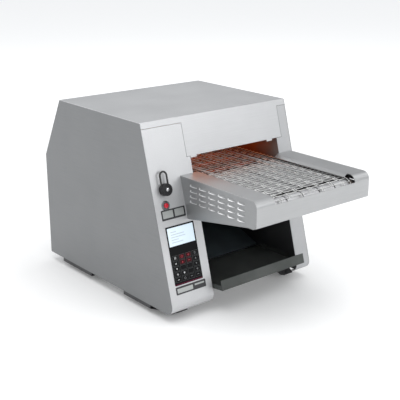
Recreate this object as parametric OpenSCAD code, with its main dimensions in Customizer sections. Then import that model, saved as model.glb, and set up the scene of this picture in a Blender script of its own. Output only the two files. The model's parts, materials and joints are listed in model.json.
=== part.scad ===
// Conveyor toaster with a sloping face, a belt housing that stands out of it and a toast tray below.
// Millimetres, +Z up, +X to the right of someone facing the object, -Y towards them.
// The modules draw in the cabinet's own frame: X = 0 at its middle, Y = 0 at the top front edge and
// Z = 0 at the bottom edge of the side panels. place() then moves each part to the object's frame,
// whose origin is at the bottom centre.

/* [Cabinet] */
// Width over the side panels
body_w = 420; // [400:1:450]
// Height of the side panels
body_h = 396; // [392:1:420]
// Depth of the flat top
top_d = 317; // [305:1:330]
// Depth from the top front edge to the rear face
body_d = 394; // [385:1:420]
// How far the foot of the sloping face stands ahead of the top front edge
face_reach = 108; // [100:1:116]
// Height of the sloping part of the rear panel
rear_slope_h = 146; // [120:1:160]
// Thickness of the cabinet sheet
sheet = 1.2; // [1:0.1:1.5]
// Outer radius of the roll at the foot of the face
face_roll_r = 18; // [14:1:22]
// How far the side panels and the rolled foot hang below the bottom pan
skirt = 4.5; // [3:0.5:6]
// Depth of the lip that the top cover turns down over the columns
top_lip = 13; // [10:1:18]
// Gap of the seams between the front covers
seam_gap = 0.7; // [0.4:0.1:1]
// Width of the folded flanges that the panels are screwed to
flange_w = 15; // [12:1:20]

/* [Front openings] */
// Width of the left column, which holds the controls
left_column_w = 116; // [112:1:124]
// Width of the right column
right_column_w = 43; // [38:1:46]
// How far the hood laps over the left column
hood_lap_left = 9; // [6:1:14]
// How far the hood laps over the right column
hood_lap_right = 15.4; // [10:0.2:20]
// Height of the hood's lower edge
hood_edge_z = 312; // [310:1:320]
// How far the two end tabs hang below the hood's edge
hood_tab_l = 4; // [2:0.5:6]
// Width of a hood tab
hood_tab_w = 17; // [12:1:22]
// Width of the notch beside the right tab
hood_notch_w = 15.5; // [10:0.5:20]

/* [Belt housing] */
// How far the housing stands ahead of the top front edge
housing_out = 272; // [255:1:285]
// Distance from the cabinet's left side to the housing's left side
housing_left_in = 80.7; // [76:0.1:90]
// Distance from the cabinet's right side to the housing's right side
housing_right_in = 3.4; // [3:0.1:8]
// Height of the housing's top
housing_top_z = 276.5; // [274:0.5:282]
// Outer radius of the roll along the housing's top front edge
housing_roll_r = 17; // [14:1:22]
// Height of the housing's lower edge where it meets the face
housing_root_z = 184; // [176:1:192]
// Height of the housing's lower edge near its front
housing_nose_z = 216; // [212:1:220]
// Length of the level stretch under the housing's front
housing_nose_l = 24; // [16:1:32]
// Height of the chamfer under the housing's front edge
housing_chin = 5.5; // [3:0.5:8]
// Width of the right flange beside the belt cut-out
right_flange_w = 46.6; // [42:0.2:50]
// Width of the left flange beside the belt cut-out
left_flange_w = 49.3; // [42:0.2:52]
// How far a flange's lip slopes in over the belt
lip_in = 11; // [6:1:14]
// How far a flange's lip slopes down
lip_down = 6; // [4:0.5:7]

/* [Louvres] */
// Columns of louvres on a housing side
louvre_cols = 6; // [3:1:7]
// Rows of louvres on a housing side
louvre_rows = 4; // [2:1:5]
// Spacing of the columns
louvre_pitch_y = 29.8; // [28:0.2:32]
// Spacing of the rows
louvre_pitch_z = 11.8; // [10:0.2:13]
// Length of one louvre
louvre_l = 23; // [18:1:26]
// How far a louvre is pressed out
louvre_out = 2.6; // [1.6:0.1:3]
// Radius of the louvre's curve
louvre_r = 5.2; // [4:0.1:6]
// Height of the top row's lips
louvre_top_z = 261; // [258:0.5:263]
// Distance from the top front edge back to front of the first column's middle
louvre_first = 77; // [74:1:82]

/* [Belt] */
// Height of the belt's upper face
belt_top_z = 268; // [266:0.5:270]
// Gap between the belt's left edge and the bay's wall
belt_gap_left = 9.5; // [6:0.5:16]
// Gap between the belt's right edge and the bay's wall
belt_gap_right = 12; // [8:0.5:16]
// Outer radius of the belt's turn at each end
belt_r = 18; // [17:0.5:19]
// Thickness of the belt wire
belt_wire = 2; // [1.6:0.1:2.4]
// Nominal spacing of the belt strands
strand_pitch = 12; // [11:0.5:15]
// Spacing of the bends along one strand
bend_pitch = 44; // [36:1:60]
// Gap between the belt's front turn and the housing's front
belt_nose_gap = 3; // [2.5:0.5:6]
// Distance of the drive shaft behind the top front edge
drive_y = 190; // [180:1:200]
// Diameter of both belt shafts
shaft_d = 10; // [8:0.5:12]
// Radial clearance of a turning shaft
run_gap = 0.05; // [0.03:0.01:0.08]
// Clearance between a turning or sliding part and its neighbour
play = 0.5; // [0.4:0.1:0.8]

/* [Heating] */
// Diameter of a heating tube
heater_d = 8; // [6:0.5:9]
// Upper heating tubes
upper_heater_n = 4; // [2:1:5]
// Lower heating tubes
lower_heater_n = 3; // [2:1:3]
// Spacing of the heating tubes
heater_pitch = 52; // [44:1:54]
// Distance of the first tube behind the top front edge
heater_first = 18; // [14:1:24]
// Height of the upper tubes
upper_heater_z = 331; // [328:1:334]
// Outer diameter of a tube's ceramic bush
bush_d = 15; // [13:0.5:17]

/* [Discharge] */
// Slope of the chute, degrees
chute_a = 21; // [18:0.5:23]
// Distance of the chute's lower end behind the top front edge
chute_y = 34; // [30:1:40]
// Inner radius of the bend at the back of the chute
chute_bend_r = 50; // [40:1:60]
// Distance of the chute's back wall behind the top front edge
chute_back_y = 272; // [262:1:285]
// Height of the toast tray's floor
tray_z = 26; // [24:1:30]
// Height of the tray's front lip
tray_lip_h = 22; // [18:1:24]
// How far the tray's floor rises towards its lip
tray_rise = 4; // [3:0.5:6]
// How far the tray's lip stands ahead of the top front edge
tray_out = 129.5; // [124:0.5:132]
// Height of the tray's side walls
tray_side_h = 11; // [8:1:15]

/* [Feet] */
// Height of the side panels above the surface
foot_h = 25; // [23:1:32]
// Depth of the brackets under the cabinet
bracket_h = 14; // [13:0.5:15]
// Width of a bracket
bracket_w = 60; // [56:1:64]
// Diameter of a foot's pad
pad_d = 17; // [15:1:22]
// Thickness of a foot's pad
pad_h = 4.5; // [4:0.5:6]
// Diameter of a foot's stem
stem_d = 8; // [6:0.5:10]
// Distance of a foot from the cabinet's side
foot_in = 39; // [36:1:42]
// Distance of the front feet ahead of the top front edge
front_foot = 53; // [50:1:58]
// Distance of the rear feet behind the top front edge
rear_foot = 300; // [270:1:310]

/* [Controls] */
// Height of the socket's middle on the face
socket_z = 255.7; // [250:0.1:260]
// Distance of the socket from the cabinet's left side
socket_in = 31.3; // [29:0.1:36]
// Diameter of the socket's cap
cap_d = 27; // [26:1:30]
// Height of the cap above the face
cap_h = 15; // [14:1:20]
// Height of the cap's pull loop above the cap
loop_h = 27; // [24:1:30]
// Thickness of the pull loop
loop_d = 4; // [3:0.1:4.4]
// Radius of the loop's bow
bow_r = 8.5; // [8:0.5:10]
// Height of the push button's middle on the face
button_z = 223.3; // [221:0.1:226]
// Distance of the push button from the cabinet's left side
button_in = 29.4; // [27:0.1:34]
// Diameter of the push button
button_d = 13; // [12:0.5:14]
// Travel of the push button
button_travel = 2; // [1.5:0.1:2.5]
// Width of the keypad sheet
keypad_w = 75.5; // [74:0.5:78]
// Length of the keypad sheet along the slope
keypad_l = 127; // [125:0.5:129]
// Distance of the keypad sheet from the cabinet's left side
keypad_in = 18.5; // [18:0.5:22]
// Height of the keypad sheet's lower edge on the face
keypad_z = 56.5; // [55:0.1:60]
// Thickness of the keypad sheet
keypad_t = 0.8; // [0.6:0.1:1.2]
// Width of the display window
window_w = 69.5; // [66:0.5:71]
// Length of the display window along the slope
window_l = 39.5; // [37:0.5:41]
// Width of one key
key_w = 13.5; // [12:0.5:15]
// Length of one key along the slope
key_l = 9; // [8:0.5:10]
// Height of a key above the sheet
key_h = 0.5; // [0.3:0.1:0.8]

/* [Rear] */
// Side of the cooling fan's frame
fan_w = 80; // [78:1:82]
// Depth of the cooling fan
fan_t = 25; // [20:1:28]
// Height of the fan's middle
fan_z = 150; // [120:1:160]
// Blades of the fan
fan_blades = 7; // [5:1:9]
// Height of a screw head
head_h = 2.2; // [1.8:0.1:2.6]
// Diameter of a screw head
head_d = 8; // [7:0.5:9]
// Radius of a screw's shank
screw_r = 2; // [1.5:0.1:2.5]

/* [Hidden] */
$fn = 64;
eps = 0.01;
big = 1000;
cut = 20;

// Object frame
total_d = housing_out + body_d + head_h;
shift_y = housing_out - total_d / 2;

// Cabinet
side_x = body_w / 2;
face_a = atan2(body_h, face_reach);
slope_a = atan2(rear_slope_h, body_d - top_d);
bay_l = -side_x + left_column_w;
bay_r = side_x - right_column_w;
bay_mid = (bay_l + bay_r) / 2;
seam_l = bay_l - hood_lap_left;
seam_r = bay_r + hood_lap_right;
base_z = 2 * sheet;
fold_y = -face_reach + face_roll_r / tan(face_a / 2);

// Belt housing
hous_l = -side_x + housing_left_in;
hous_r = side_x - housing_right_in;
cut_l = hous_l + left_flange_w;
cut_r = hous_r - right_flange_w;
cut_above = 1.5;

// Belt
belt_mid_z = belt_top_z - belt_r;
belt_l = bay_l + belt_gap_left;
belt_w = bay_r - belt_gap_right - belt_l;
idler_y = -housing_out + sheet + belt_nose_gap + belt_r;
belt_run = drive_y - idler_y;
belt_line_r = belt_r - belt_wire / 2;
belt_loop = 2 * belt_run + 2 * PI * belt_line_r;
strand_n = round(belt_loop / strand_pitch);
strand_step = belt_loop / strand_n;
rail_t = 2;
rail_gap = 1;
rail_l = bay_l + rail_gap;
rail_r = bay_r - rail_gap - rail_t;
rail_h = 28;
roller_r = sqrt(pow(belt_line_r, 2) - pow(strand_step / 2, 2)) - belt_wire / 2 - play;
roller_n = 5;
roller_pitch = belt_w / roller_n;
wheel_w = 10;
drum_gap = 3;
drum_l = roller_pitch - drum_gap;
drum_wall = 2;
sprocket_teeth = 9;
bar_in_front = 55;
bar_in_back = 38;
strip_t = 3;
strip_w = 8;
bar_w = 6;
bar_z = belt_top_z - belt_wire - strip_t - bar_w;
bar_n = 6;
bar_first = idler_y + bar_in_front;
bar_pitch = (drive_y - bar_in_back - bar_first) / (bar_n - 1);
strip_end = 6;
belt_sheet_in = 6;
bearing_d = 16;
bearing_rim = 22;
bearing_rim_t = 2;
shaft_out = 12;
tooth_h = 3;

// Heating
lower_heater_z = belt_mid_z - 2;
heater_over = 18;
heater_l = bay_l - heater_over;
heater_r = bay_r + heater_over;
heater_pin_l = 10;
bush_gap = 0.1;
bush_flange_t = 3;
bush_flange_w = 2;
reflector_lip = 6;
wall_margin = 10;
reflector_z = belt_mid_z - belt_r - 10;
ceiling_z = upper_heater_z + 21;
lower_first = heater_first + heater_pitch / 4;

// Discharge
slope_y = function(z) chute_y + (z - tray_z - 3) / tan(chute_a);
slope_z = function(y) tray_z + 3 + (y - chute_y) * tan(chute_a);
bend_y = chute_back_y - chute_bend_r;
bend_z = slope_z(bend_y) + chute_bend_r / cos(chute_a);
tray_gap = 0.3;
tray_l = bay_l + 3;
tray_r = bay_r - 2;
tray_back = chute_y - 4;
tray_taper = 20;
tray_bend = -face_reach + 12;
runner_w = 10;

// Feet
foot_x = side_x - foot_in;
bracket_back = 77;
bracket_front = -25;
bracket_nose = 80;
bracket_nose_in = 32;
rear_bracket_l = 128;
rear_bracket_y = 210;
bracket_in = side_x - sheet - bracket_w;
nut_h = 6;
nut_d = 15;

// Controls
socket_x = -side_x + socket_in;
button_x = -side_x + button_in;
keypad_x = -side_x + keypad_in + keypad_w / 2;
window_in = 3.2;
window_up = keypad_l - window_l / 2 - window_in;
screen_t = 7;
screen_rim = 4;
key_cols = 4;
key_rows = 5;
key_pitch_x = 17.8;
key_pitch_y = 11.8;
keys_up = 12;
key_corner = 1.5;
sheet_corner = 2;
window_gap = 0.2;
bezel_w = 4;
bezel_taper = 1;
bezel_h = 2.4;
bezel_in = 6;
bezel_gap = 0.1;
button_wall = 1;
button_gap = 0.3;
button_out = 4;
button_tip = 1;
plunger_d = 8;
plunger_l = 7;
plunger_gap = 0.2;
switch_l = 20;
switch_over = 2;
collar_d = 24;
collar_h = 2;
collar_wall = 1.4;
collar_in = 14;
collar_gap = 0.1;
plug_d = 16;
plug_in = 8;
plug_gap = 0.15;
cap_gap = 0.3;
cap_ribs = 24;
cap_crown = 2;
cap_boss_d = 6;
cap_boss_h = 1.2;
loop_gap = 0.1;
loop_root = cap_d / 2 - 5;
loop_top = cap_d / 2 + loop_h - bow_r - loop_d / 2;

// Drive
gearbox_l = 22;
gearbox_w = 60;
gear_shaft_r = 4;
motor_d = 42;
motor_end_gap = 8;
fin_n = 4;
fin_pitch = 10;
fin_t = 3;
fin_h = 2;
coupling_l = 14;
coupling_r = 12;
coupling_gap = 3;
bracket_t = 2;
bracket_x = bay_l - sheet - coupling_l - coupling_gap - 2 * bracket_t;
fan_x = -side_x + left_column_w / 2;
fan_bore_r = fan_w / 2 - 2.5;
fan_rim = 4;
fan_hole_in = 5;
fan_hole_r = 2.2;
fan_strut = 4;
hub_r = 17;
axle_r = 2.5;
blade_t = 1.6;
blade_a = 38;
guard_wire = 1.8;
guard_pitch = 9;

// Rear and bottom pan
slot_w = 5;
slot_pitch_x = 60;
rear_slot_l = 40;
rear_slot_n = 9;
rear_slot_z = 70;
rear_slot_pitch = 16;
slope_slot_n = 6;
pan_slot_n = 7;
pan_slot_l = 46;
pan_slot_y = 100;
pan_slot_pitch = 14;
screw_z = 42;
screw_pitch_z = 88;
screw_pitch_x = 90;
screw_gap = 0.2;
screw_end = 3;
recess_w = 1;
recess_h = 0.8;
inlet_w = 40;
inlet_l = 30;
inlet_z = 56;
inlet_rim = 5;
inlet_wall = 3;
inlet_in = 22;
blade_w = 5;

// Electrics
board_off = 10;
board_t = 1.6;
board_l = 120;
board_h = 130;
board_y = 20;
board_z = 60;
board_in = 8;
relay_n = 4;
relay_pitch = 24;
relay_w = 16;
relay_h = 28;
relay_t = 12.4;
sink_l = 38;
sink_h = 32;
sink_t = 22.4;
capacitor_n = 3;
capacitor_r = 6;
capacitor_l = 19.4;
capacitor_pitch = 15;
contactor_y = 240;
contactor_w = 54;
contactor_l = 64;
contactor_h = 45;
contactor_cap_h = 17;
pole_w = 10;
pole_l = 8;
pole_h = 7;
pole_pitch = 16;
block_y = 320;
block_l = 68;
block_w = 20;
block_h = 12;
block_rib_h = 8;
block_rib = 1.6;
terminal_n = 6;
terminal_pitch = 10;
terminal_r = 3;
terminal_h = 5;

// Finishes
steel_c = "silver";
dark_steel_c = "dimgray";
bright_c = "whitesmoke";
black_c = "#222222";
ceramic_c = "ivory";
board_c = "darkgreen";
hot_c = "sienna";
red_c = "crimson";

// ---------------------------------------------------------------- helpers

// The face and the sloping rear as distances behind the top front edge, t below the outer surface
function front_y(z, t = 0) = -face_reach * (1 - z / body_h) + t / sin(face_a);
function rear_y(z, t = 0) =
    top_d + (body_h - z) * (body_d - top_d) / rear_slope_h - t / sin(slope_a);
function rear_knee(t) =
    body_h - (body_d - t + t / sin(slope_a) - top_d) * rear_slope_h / (body_d - top_d);

// Moves the cabinet's frame to the object's frame
module place() {
    translate([0, shift_y, foot_h]) children();
}

// Extrudes an outline drawn in Y and Z from x0 to x1
module along_x(x0, x1) {
    translate([x0, 0, 0]) rotate([90, 0, 90]) linear_extrude(x1 - x0) children();
}

// Puts a shape on the sloping face at x and height z, its own Z pointing out of the face
module on_face(x, z) {
    translate([x, front_y(z), z]) rotate([face_a, 0, 0]) children();
}

// A cylinder along X
module rod_x(r, x0, x1) {
    translate([x0, 0, 0]) rotate([0, 90, 0]) cylinder(r = r, h = x1 - x0);
}

// A box from one corner to the other
module span(a, b) {
    translate(a) cube(b - a);
}

// The cabinet seen from its side, t inside its outer surface
module outline(t = 0) {
    r = face_roll_r - t;
    low = t - skirt;
    foot = [front_y(low, t), low];
    cut = r / tan(face_a / 2);
    mid = foot + [cut, r];
    up = foot + cut * [cos(face_a), sin(face_a)];
    difference() {
        polygon([foot, [body_d - t, low], [body_d - t, rear_knee(t)],
            [rear_y(body_h - t, t), body_h - t], [front_y(body_h - t, t), body_h - t]]);
        polygon([foot - [eps, eps], foot + [cut, -eps], mid, up + [-eps, 0]]);
    }
    translate(mid) circle(r);
}

// One thickness of sheet along the outline, from t0 to t1 below the surface
module skin(t0, t1) {
    difference() {
        outline(t0);
        outline(t1);
    }
}

// The part of the plane between two heights and two depths
module window_yz(y0, y1, z0, z1) {
    translate([y0, z0]) square([y1 - y0, z1 - z0]);
}

// The belt housing seen from its side, t inside its outer surface
module housing_outline(t = 0) {
    front = -housing_out + t;
    r = housing_roll_r - t;
    mid = [-housing_out + housing_roll_r, housing_top_z - housing_roll_r];
    nose = housing_nose_z + t;
    difference() {
        union() {
            polygon([[front, mid.y], [front, nose + housing_chin], [front + housing_chin + 3, nose],
                [-housing_out + housing_nose_l, nose], [front_y(housing_root_z), housing_root_z + t],
                [0, housing_root_z + t], [0, housing_top_z - t], [mid.x, housing_top_z - t], mid]);
            translate(mid) circle(r);
        }
        outline(0);
    }
}

// A rounded rectangle around the origin
module rounded(w, l, r) {
    square([w - 2 * r, l], center = true);
    square([w, l - 2 * r], center = true);
    for (x = [-1, 1], y = [-1, 1]) translate([x * (w / 2 - r), y * (l / 2 - r)]) circle(r);
}

// ---------------------------------------------------------------- cabinet

// A side panel, drawn as the left one, with flanges turned in at the rear and along the bottom
module side_panel() {
    along_x(-side_x, -side_x + sheet) difference() {
        outline(0);
        window_yz(-big, big, body_h - sheet, big);
    }
    difference() {
        along_x(-side_x + sheet, -side_x + flange_w) intersection() {
            skin(sheet, 2 * sheet);
            window_yz(top_d, big, 2 * flange_w, body_h - 2 * flange_w);
        }
        rear_screw_holes(screw_r + run_gap);
    }
    span([-side_x + sheet, -face_reach / 2, 0], [-side_x + flange_w, body_d - flange_w, sheet]);
}

module left_side_panel() {
    color(steel_c) place() side_panel();
}

module right_side_panel() {
    color(steel_c) place() mirror([1, 0, 0]) side_panel();
}

// Bottom pan: it lies on the side panels' lower flanges, with a flange up at the rear and vent slots
module base_pan() {
    edge = side_x - sheet;
    front = -face_reach + 2 * face_roll_r;
    color(steel_c) place() {
        difference() {
            union() {
                span([-edge, front, sheet], [bay_l, body_d - sheet, base_z]);
                span([bay_r, front, sheet], [edge, body_d - sheet, base_z]);
                span([bay_l, -face_reach / 2, sheet], [bay_r, body_d - sheet, base_z]);
            }
            for (i = [0:pan_slot_n - 1], x = [fan_x, -fan_x])
                translate([x, pan_slot_y + i * pan_slot_pitch, 0])
                    span([-pan_slot_l / 2, 0, -eps], [pan_slot_l / 2, slot_w, flange_w]);
        }
        difference() {
            span([-edge + flange_w, body_d - 2 * sheet, base_z],
                [edge - flange_w, body_d - sheet, base_z + flange_w]);
            rear_screw_holes(screw_r + run_gap);
        }
    }
}

// Top cover: the flat top, the lip over the columns and the hood between them, folded from one sheet
module top_cover() {
    inner = side_x - sheet;
    tab_l = bay_l + 1;
    tab_r = bay_r - hood_notch_w;
    color(steel_c) place() {
        along_x(-side_x, side_x) intersection() {
            skin(0, sheet);
            window_yz(front_y(body_h - sheet), top_d + sheet, body_h - sheet, body_h);
        }
        along_x(-inner, inner) front_skin(body_h - top_lip, body_h - sheet);
        along_x(seam_l, seam_r) front_skin(hood_edge_z, body_h - top_lip);
        along_x(tab_l, tab_l + hood_tab_w) front_skin(hood_edge_z - hood_tab_l, hood_edge_z);
        along_x(tab_r - hood_tab_w, tab_r) front_skin(hood_edge_z - hood_tab_l, hood_edge_z);
    }
}

// The sheet of the sloping face between two heights
module front_skin(z0, z1) {
    intersection() {
        skin(0, sheet);
        window_yz(-big, 0, z0, z1);
    }
}

// A column cover from its outer edge to the bay, rolled under at the foot
module column_skin(x_out, x_seam, x_bay) {
    top = body_h - top_lip - seam_gap;
    step = hood_edge_z - seam_gap;
    along_x(min(x_out, x_seam), max(x_out, x_seam)) front_skin(step, top);
    along_x(min(x_out, x_bay), max(x_out, x_bay)) intersection() {
        skin(0, sheet);
        window_yz(-big, fold_y, -2 * skirt, step);
    }
    along_x(min(x_out, x_bay), max(x_out, x_bay)) intersection() {
        skin(0, sheet);
        window_yz(-big, 0, 2 * face_roll_r, step);
    }
}

module left_column_cover() {
    color(steel_c) place() difference() {
        column_skin(-side_x + sheet, seam_l - seam_gap, bay_l);
        on_face(socket_x, socket_z)
            cylinder(d = plug_d + 2 * (collar_wall + collar_gap), h = cut, center = true);
        on_face(button_x, button_z) cylinder(d = button_d, h = cut, center = true);
        on_face(keypad_x, keypad_z) translate([0, window_up, 0])
            cube([window_w + sheet, window_l + sheet, cut], center = true);
    }
}

module right_column_cover() {
    color(steel_c) place() column_skin(side_x - sheet, seam_r + seam_gap, bay_r);
}

// Rear panel with vent slots, the fan's opening and the inlet's opening
module rear_panel() {
    inner = side_x - sheet;
    color(steel_c) place() difference() {
        along_x(-inner, inner) intersection() {
            skin(0, sheet);
            window_yz(top_d - 5, big, sheet, body_h - sheet);
        }
        translate([fan_x, body_d, fan_z]) rotate([90, 0, 0])
            cylinder(r = fan_bore_r, h = cut, center = true);
        translate([fan_x, body_d, inlet_z])
            cube([inlet_w + play, cut, inlet_l + play], center = true);
        for (x = [-slot_pitch_x, 0, slot_pitch_x]) {
            for (i = [0:rear_slot_n - 1])
                translate([bay_mid + x, body_d, rear_slot_z + i * rear_slot_pitch])
                    cube([rear_slot_l, cut, slot_w], center = true);
            for (i = [0:slope_slot_n - 1])
                translate([bay_mid + x, (body_d + top_d) / 2, body_h - rear_slope_h / 2])
                    rotate([90 - slope_a, 0, 0])
                        translate([0, 0, (i - (slope_slot_n - 1) / 2) * rear_slot_pitch])
                            cube([rear_slot_l, cut, slot_w], center = true);
        }
        rear_screw_holes(screw_r + screw_gap);
    }
}

// Places of the rear panel's screws, X and Z: up both edges and along the foot
function rear_screws() = concat(
    [for (i = [0:2], s = [-1, 1])
        [s * (side_x - sheet - flange_w / 2), screw_z + i * screw_pitch_z]],
    [for (i = [0:3]) [(i - 1.5) * screw_pitch_x, base_z + flange_w / 2]]);

module rear_screw_holes(r) {
    for (p = rear_screws()) translate([p.x, body_d, p.y]) rotate([90, 0, 0])
        cylinder(r = r, h = cut, center = true);
}

// Screws of the rear panel and their shanks in the flanges behind it
module cover_screws() {
    shank = 2 * sheet + screw_end;
    color(bright_c) place() for (p = rear_screws()) translate([p.x, body_d, p.y])
        rotate([-90, 0, 0]) difference() {
            union() {
                cylinder(d = head_d, h = head_h);
                translate([0, 0, -shank]) cylinder(r = screw_r, h = shank);
            }
            for (a = [0, 90]) rotate(a) translate([0, 0, head_h])
                cube([head_d * 0.55, recess_w, 2 * recess_h], center = true);
        }
}

// Inner walls of the toasting chamber and the bay
module inner_wall(x0) {
    color(dark_steel_c) place() difference() {
        along_x(x0, x0 + sheet) intersection() {
            outline(sheet);
            window_yz(-big, chute_back_y + sheet + wall_margin, base_z, ceiling_z + wall_margin);
        }
        for (p = heater_points()) translate([x0, p.x, p.y]) rod_x(bush_d / 2, -sheet, 2 * sheet);
        translate([x0, drive_y, belt_mid_z]) rod_x(bearing_d / 2, -sheet, 2 * sheet);
    }
}

module left_inner_wall() {
    inner_wall(bay_l - sheet);
}

module right_inner_wall() {
    inner_wall(bay_r);
}

// ---------------------------------------------------------------- heating

function heater_points() = concat(
    [for (i = [0:upper_heater_n - 1]) [heater_first + i * heater_pitch, upper_heater_z]],
    [for (i = [0:lower_heater_n - 1]) [lower_first + i * heater_pitch, lower_heater_z]]);

module heater_tubes(first, n, z) {
    for (i = [0:n - 1]) translate([0, first + i * heater_pitch, z]) {
        rod_x(heater_d / 2, heater_l, heater_r);
        rod_x(heater_d / 4, heater_l - heater_pin_l, heater_l);
        rod_x(heater_d / 4, heater_r, heater_r + heater_pin_l);
    }
}

module upper_heaters() {
    color(hot_c) place() heater_tubes(heater_first, upper_heater_n, upper_heater_z);
}

module lower_heaters() {
    color(hot_c) place() heater_tubes(lower_first, lower_heater_n, lower_heater_z);
}

// Ceramic bushes that carry the tubes in the inner walls
module heater_bushes() {
    color(ceramic_c) place() for (p = heater_points(), s = [0, 1]) translate([0, p.x, p.y]) {
        wall = s == 0 ? bay_l : bay_r + sheet;
        out = s == 0 ? bay_l - sheet - bush_flange_t : bay_r + sheet;
        difference() {
            union() {
                rod_x(bush_d / 2 - bush_gap, wall - sheet, wall);
                rod_x(bush_d / 2 + bush_flange_w, out, out + bush_flange_t);
            }
            rod_x(heater_d / 2 + bush_gap, out - 2 * sheet, out + bush_flange_t + 2 * sheet);
        }
    }
}

// Sheet above the upper tubes, folded down at the front and the sides
module upper_reflector() {
    front = front_y(ceiling_z, sheet) + 8;
    color(dark_steel_c) place() {
        span([bay_l, front, ceiling_z], [bay_r, chute_back_y, ceiling_z + sheet]);
        span([bay_l, front, hood_edge_z + reflector_lip], [bay_r, front + sheet, ceiling_z]);
        for (x = [bay_l, bay_r - sheet])
            span([x, front + sheet, ceiling_z - reflector_lip], [x + sheet, chute_back_y, ceiling_z]);
    }
}

// Sheet below the belt, which keeps heat in and crumbs off the toast
module lower_reflector() {
    front = front_y(reflector_z, sheet) + reflector_lip / 2;
    back = drive_y + belt_r - reflector_lip;
    up = sheet + reflector_lip;
    color(dark_steel_c) place() {
        span([bay_l, front, reflector_z], [bay_r, back, reflector_z + sheet]);
        span([bay_l, front, reflector_z + sheet], [bay_r, front + sheet, reflector_z + up]);
        for (x = [bay_l, bay_r - sheet])
            span([x, front + sheet, reflector_z + sheet], [x + sheet, back, reflector_z + up]);
    }
}

// ---------------------------------------------------------------- discharge

// Chute: back wall, bend and slope, folded from one sheet, with a hem at the lower end
module discharge_chute() {
    color(dark_steel_c) place() along_x(bay_l, bay_r) {
        window_yz(chute_back_y, chute_back_y + sheet, bend_z, ceiling_z);
        translate([bend_y, bend_z]) intersection() {
            difference() {
                circle(chute_bend_r + sheet);
                circle(chute_bend_r);
            }
            polygon([[0, 0], [big, 0], [big, -big], [big * sin(chute_a), -big * cos(chute_a)]]);
        }
        translate([chute_y, slope_z(chute_y)]) rotate(chute_a) {
            translate([0, -sheet]) square([slope_run(), sheet]);
            translate([sheet, -sheet]) circle(sheet);
        }
    }
}
function slope_run() = norm([bend_y - chute_y + chute_bend_r * sin(chute_a),
    bend_z - chute_bend_r * cos(chute_a) - slope_z(chute_y)]);

// Ledges on the inner walls that the tray slides on
module tray_runners() {
    top = tray_z - tray_gap;
    front = -face_reach + 2 * face_roll_r;
    color(dark_steel_c) place() for (s = [0, 1]) {
        x0 = s == 0 ? bay_l : bay_r - runner_w;
        leg = s == 0 ? bay_l : bay_r - sheet;
        span([x0, front, top - sheet], [x0 + runner_w, tray_back, top]);
        span([leg, front, base_z], [leg + sheet, tray_back, top - sheet]);
    }
}

// Toast tray: a floor that rises to the front, a lip parallel to the face and low side walls
module toast_tray() {
    front = -tray_out;
    z1 = tray_z + tray_rise;
    lean = function(h) h / tan(face_a);
    color(dark_steel_c) place() {
        along_x(tray_l, tray_r) {
            polygon([[front, z1], [tray_bend, tray_z], [tray_back, tray_z],
                [tray_back, tray_z + sheet], [tray_bend, tray_z + sheet], [front, z1 + sheet]]);
            polygon([[front, z1], [front + sheet, z1],
                [front + sheet + lean(tray_lip_h), z1 + tray_lip_h],
                [front + lean(tray_lip_h), z1 + tray_lip_h]]);
        }
        for (x = [tray_l, tray_r - sheet]) along_x(x, x + sheet)
            polygon([[front, z1], [tray_bend, tray_z], [tray_back, tray_z],
                [tray_back, tray_z + 2 * sheet], [tray_back - tray_taper, tray_z + tray_side_h],
                [tray_bend, tray_z + tray_side_h],
                [front + lean(tray_side_h), z1 + tray_side_h]]);
    }
}

// ---------------------------------------------------------------- belt housing

// Shroud: two flanges, the roll and the front, with the cut-out for the belt and its sloping lips
module conveyor_shroud() {
    lip_front = -housing_out + housing_roll_r + 6;
    lip_back = front_y(housing_top_z) - 3;
    z0 = housing_top_z;
    color(steel_c) place() {
        difference() {
            along_x(hous_l, hous_r) intersection() {
                difference() {
                    housing_outline(0);
                    housing_outline(sheet);
                }
                window_yz(-big, big, housing_nose_z + housing_chin - 1, big);
            }
            span([cut_l, -big, housing_top_z - housing_roll_r + cut_above], [cut_r, 0, big]);
        }
        lip(cut_l, 1, lip_front, lip_back);
        lip(cut_r, -1, lip_front, lip_back);
        span([hous_l + sheet, front_y(housing_top_z) - flange_w, z0 - sheet - eps],
            [hous_l + sheet + 1, front_y(housing_top_z) - 5, z0 - sheet]);
    }
}

// A lip that slopes from a flange's edge at x down over the belt's edge
module lip(x, dir, y0, y1) {
    z0 = housing_top_z;
    translate([0, y1, 0]) rotate([90, 0, 0]) linear_extrude(y1 - y0)
        polygon([[x - dir * 2, z0], [x, z0], [x + dir * lip_in, z0 - lip_down],
            [x + dir * lip_in, z0 - lip_down - sheet], [x, z0 - sheet], [x - dir * 2, z0 - sheet]]);
}

// One louvre pressed out of a side plate: the curve, hollow inside, open below
module louvre_shape(r, l) {
    rotate([-90, 0, 0]) translate([0, 0, -l / 2]) rotate_extrude() {
        translate([0, r]) square([r, l - 2 * r]);
        for (z = [r, l - r]) translate([0, z]) intersection() {
            circle(r);
            square([r, 2 * r], center = true);
            translate([0, -r]) square([r, 2 * r]);
        }
    }
}

module louvres(cut) {
    for (c = [0:louvre_cols - 1], k = [0:louvre_rows - 1])
        translate([0, -louvre_first - c * louvre_pitch_y, louvre_top_z - k * louvre_pitch_z])
            if (cut) span([-5, -louvre_l / 2 + 3, -0.6], [5, louvre_l / 2 - 3, 2.8]);
            else louvre();
}

module louvre() {
    wall = 0.9;
    difference() {
        translate([louvre_r - louvre_out, 0, 0]) difference() {
            louvre_shape(louvre_r, louvre_l);
            louvre_shape(louvre_r - wall, louvre_l - 2 * wall);
        }
        span([0, -big, -big], [big, big, big]);
        span([-big, -big, -big], [big, big, 0]);
    }
}

// A housing side with its louvres, drawn as the left one with its outer face at x = 0
module housing_side() {
    difference() {
        along_x(0, sheet) housing_outline(sheet);
        louvres(true);
    }
    louvres(false);
}

module conveyor_left_side() {
    color(steel_c) place() translate([hous_l, 0, 0]) housing_side();
}

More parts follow.
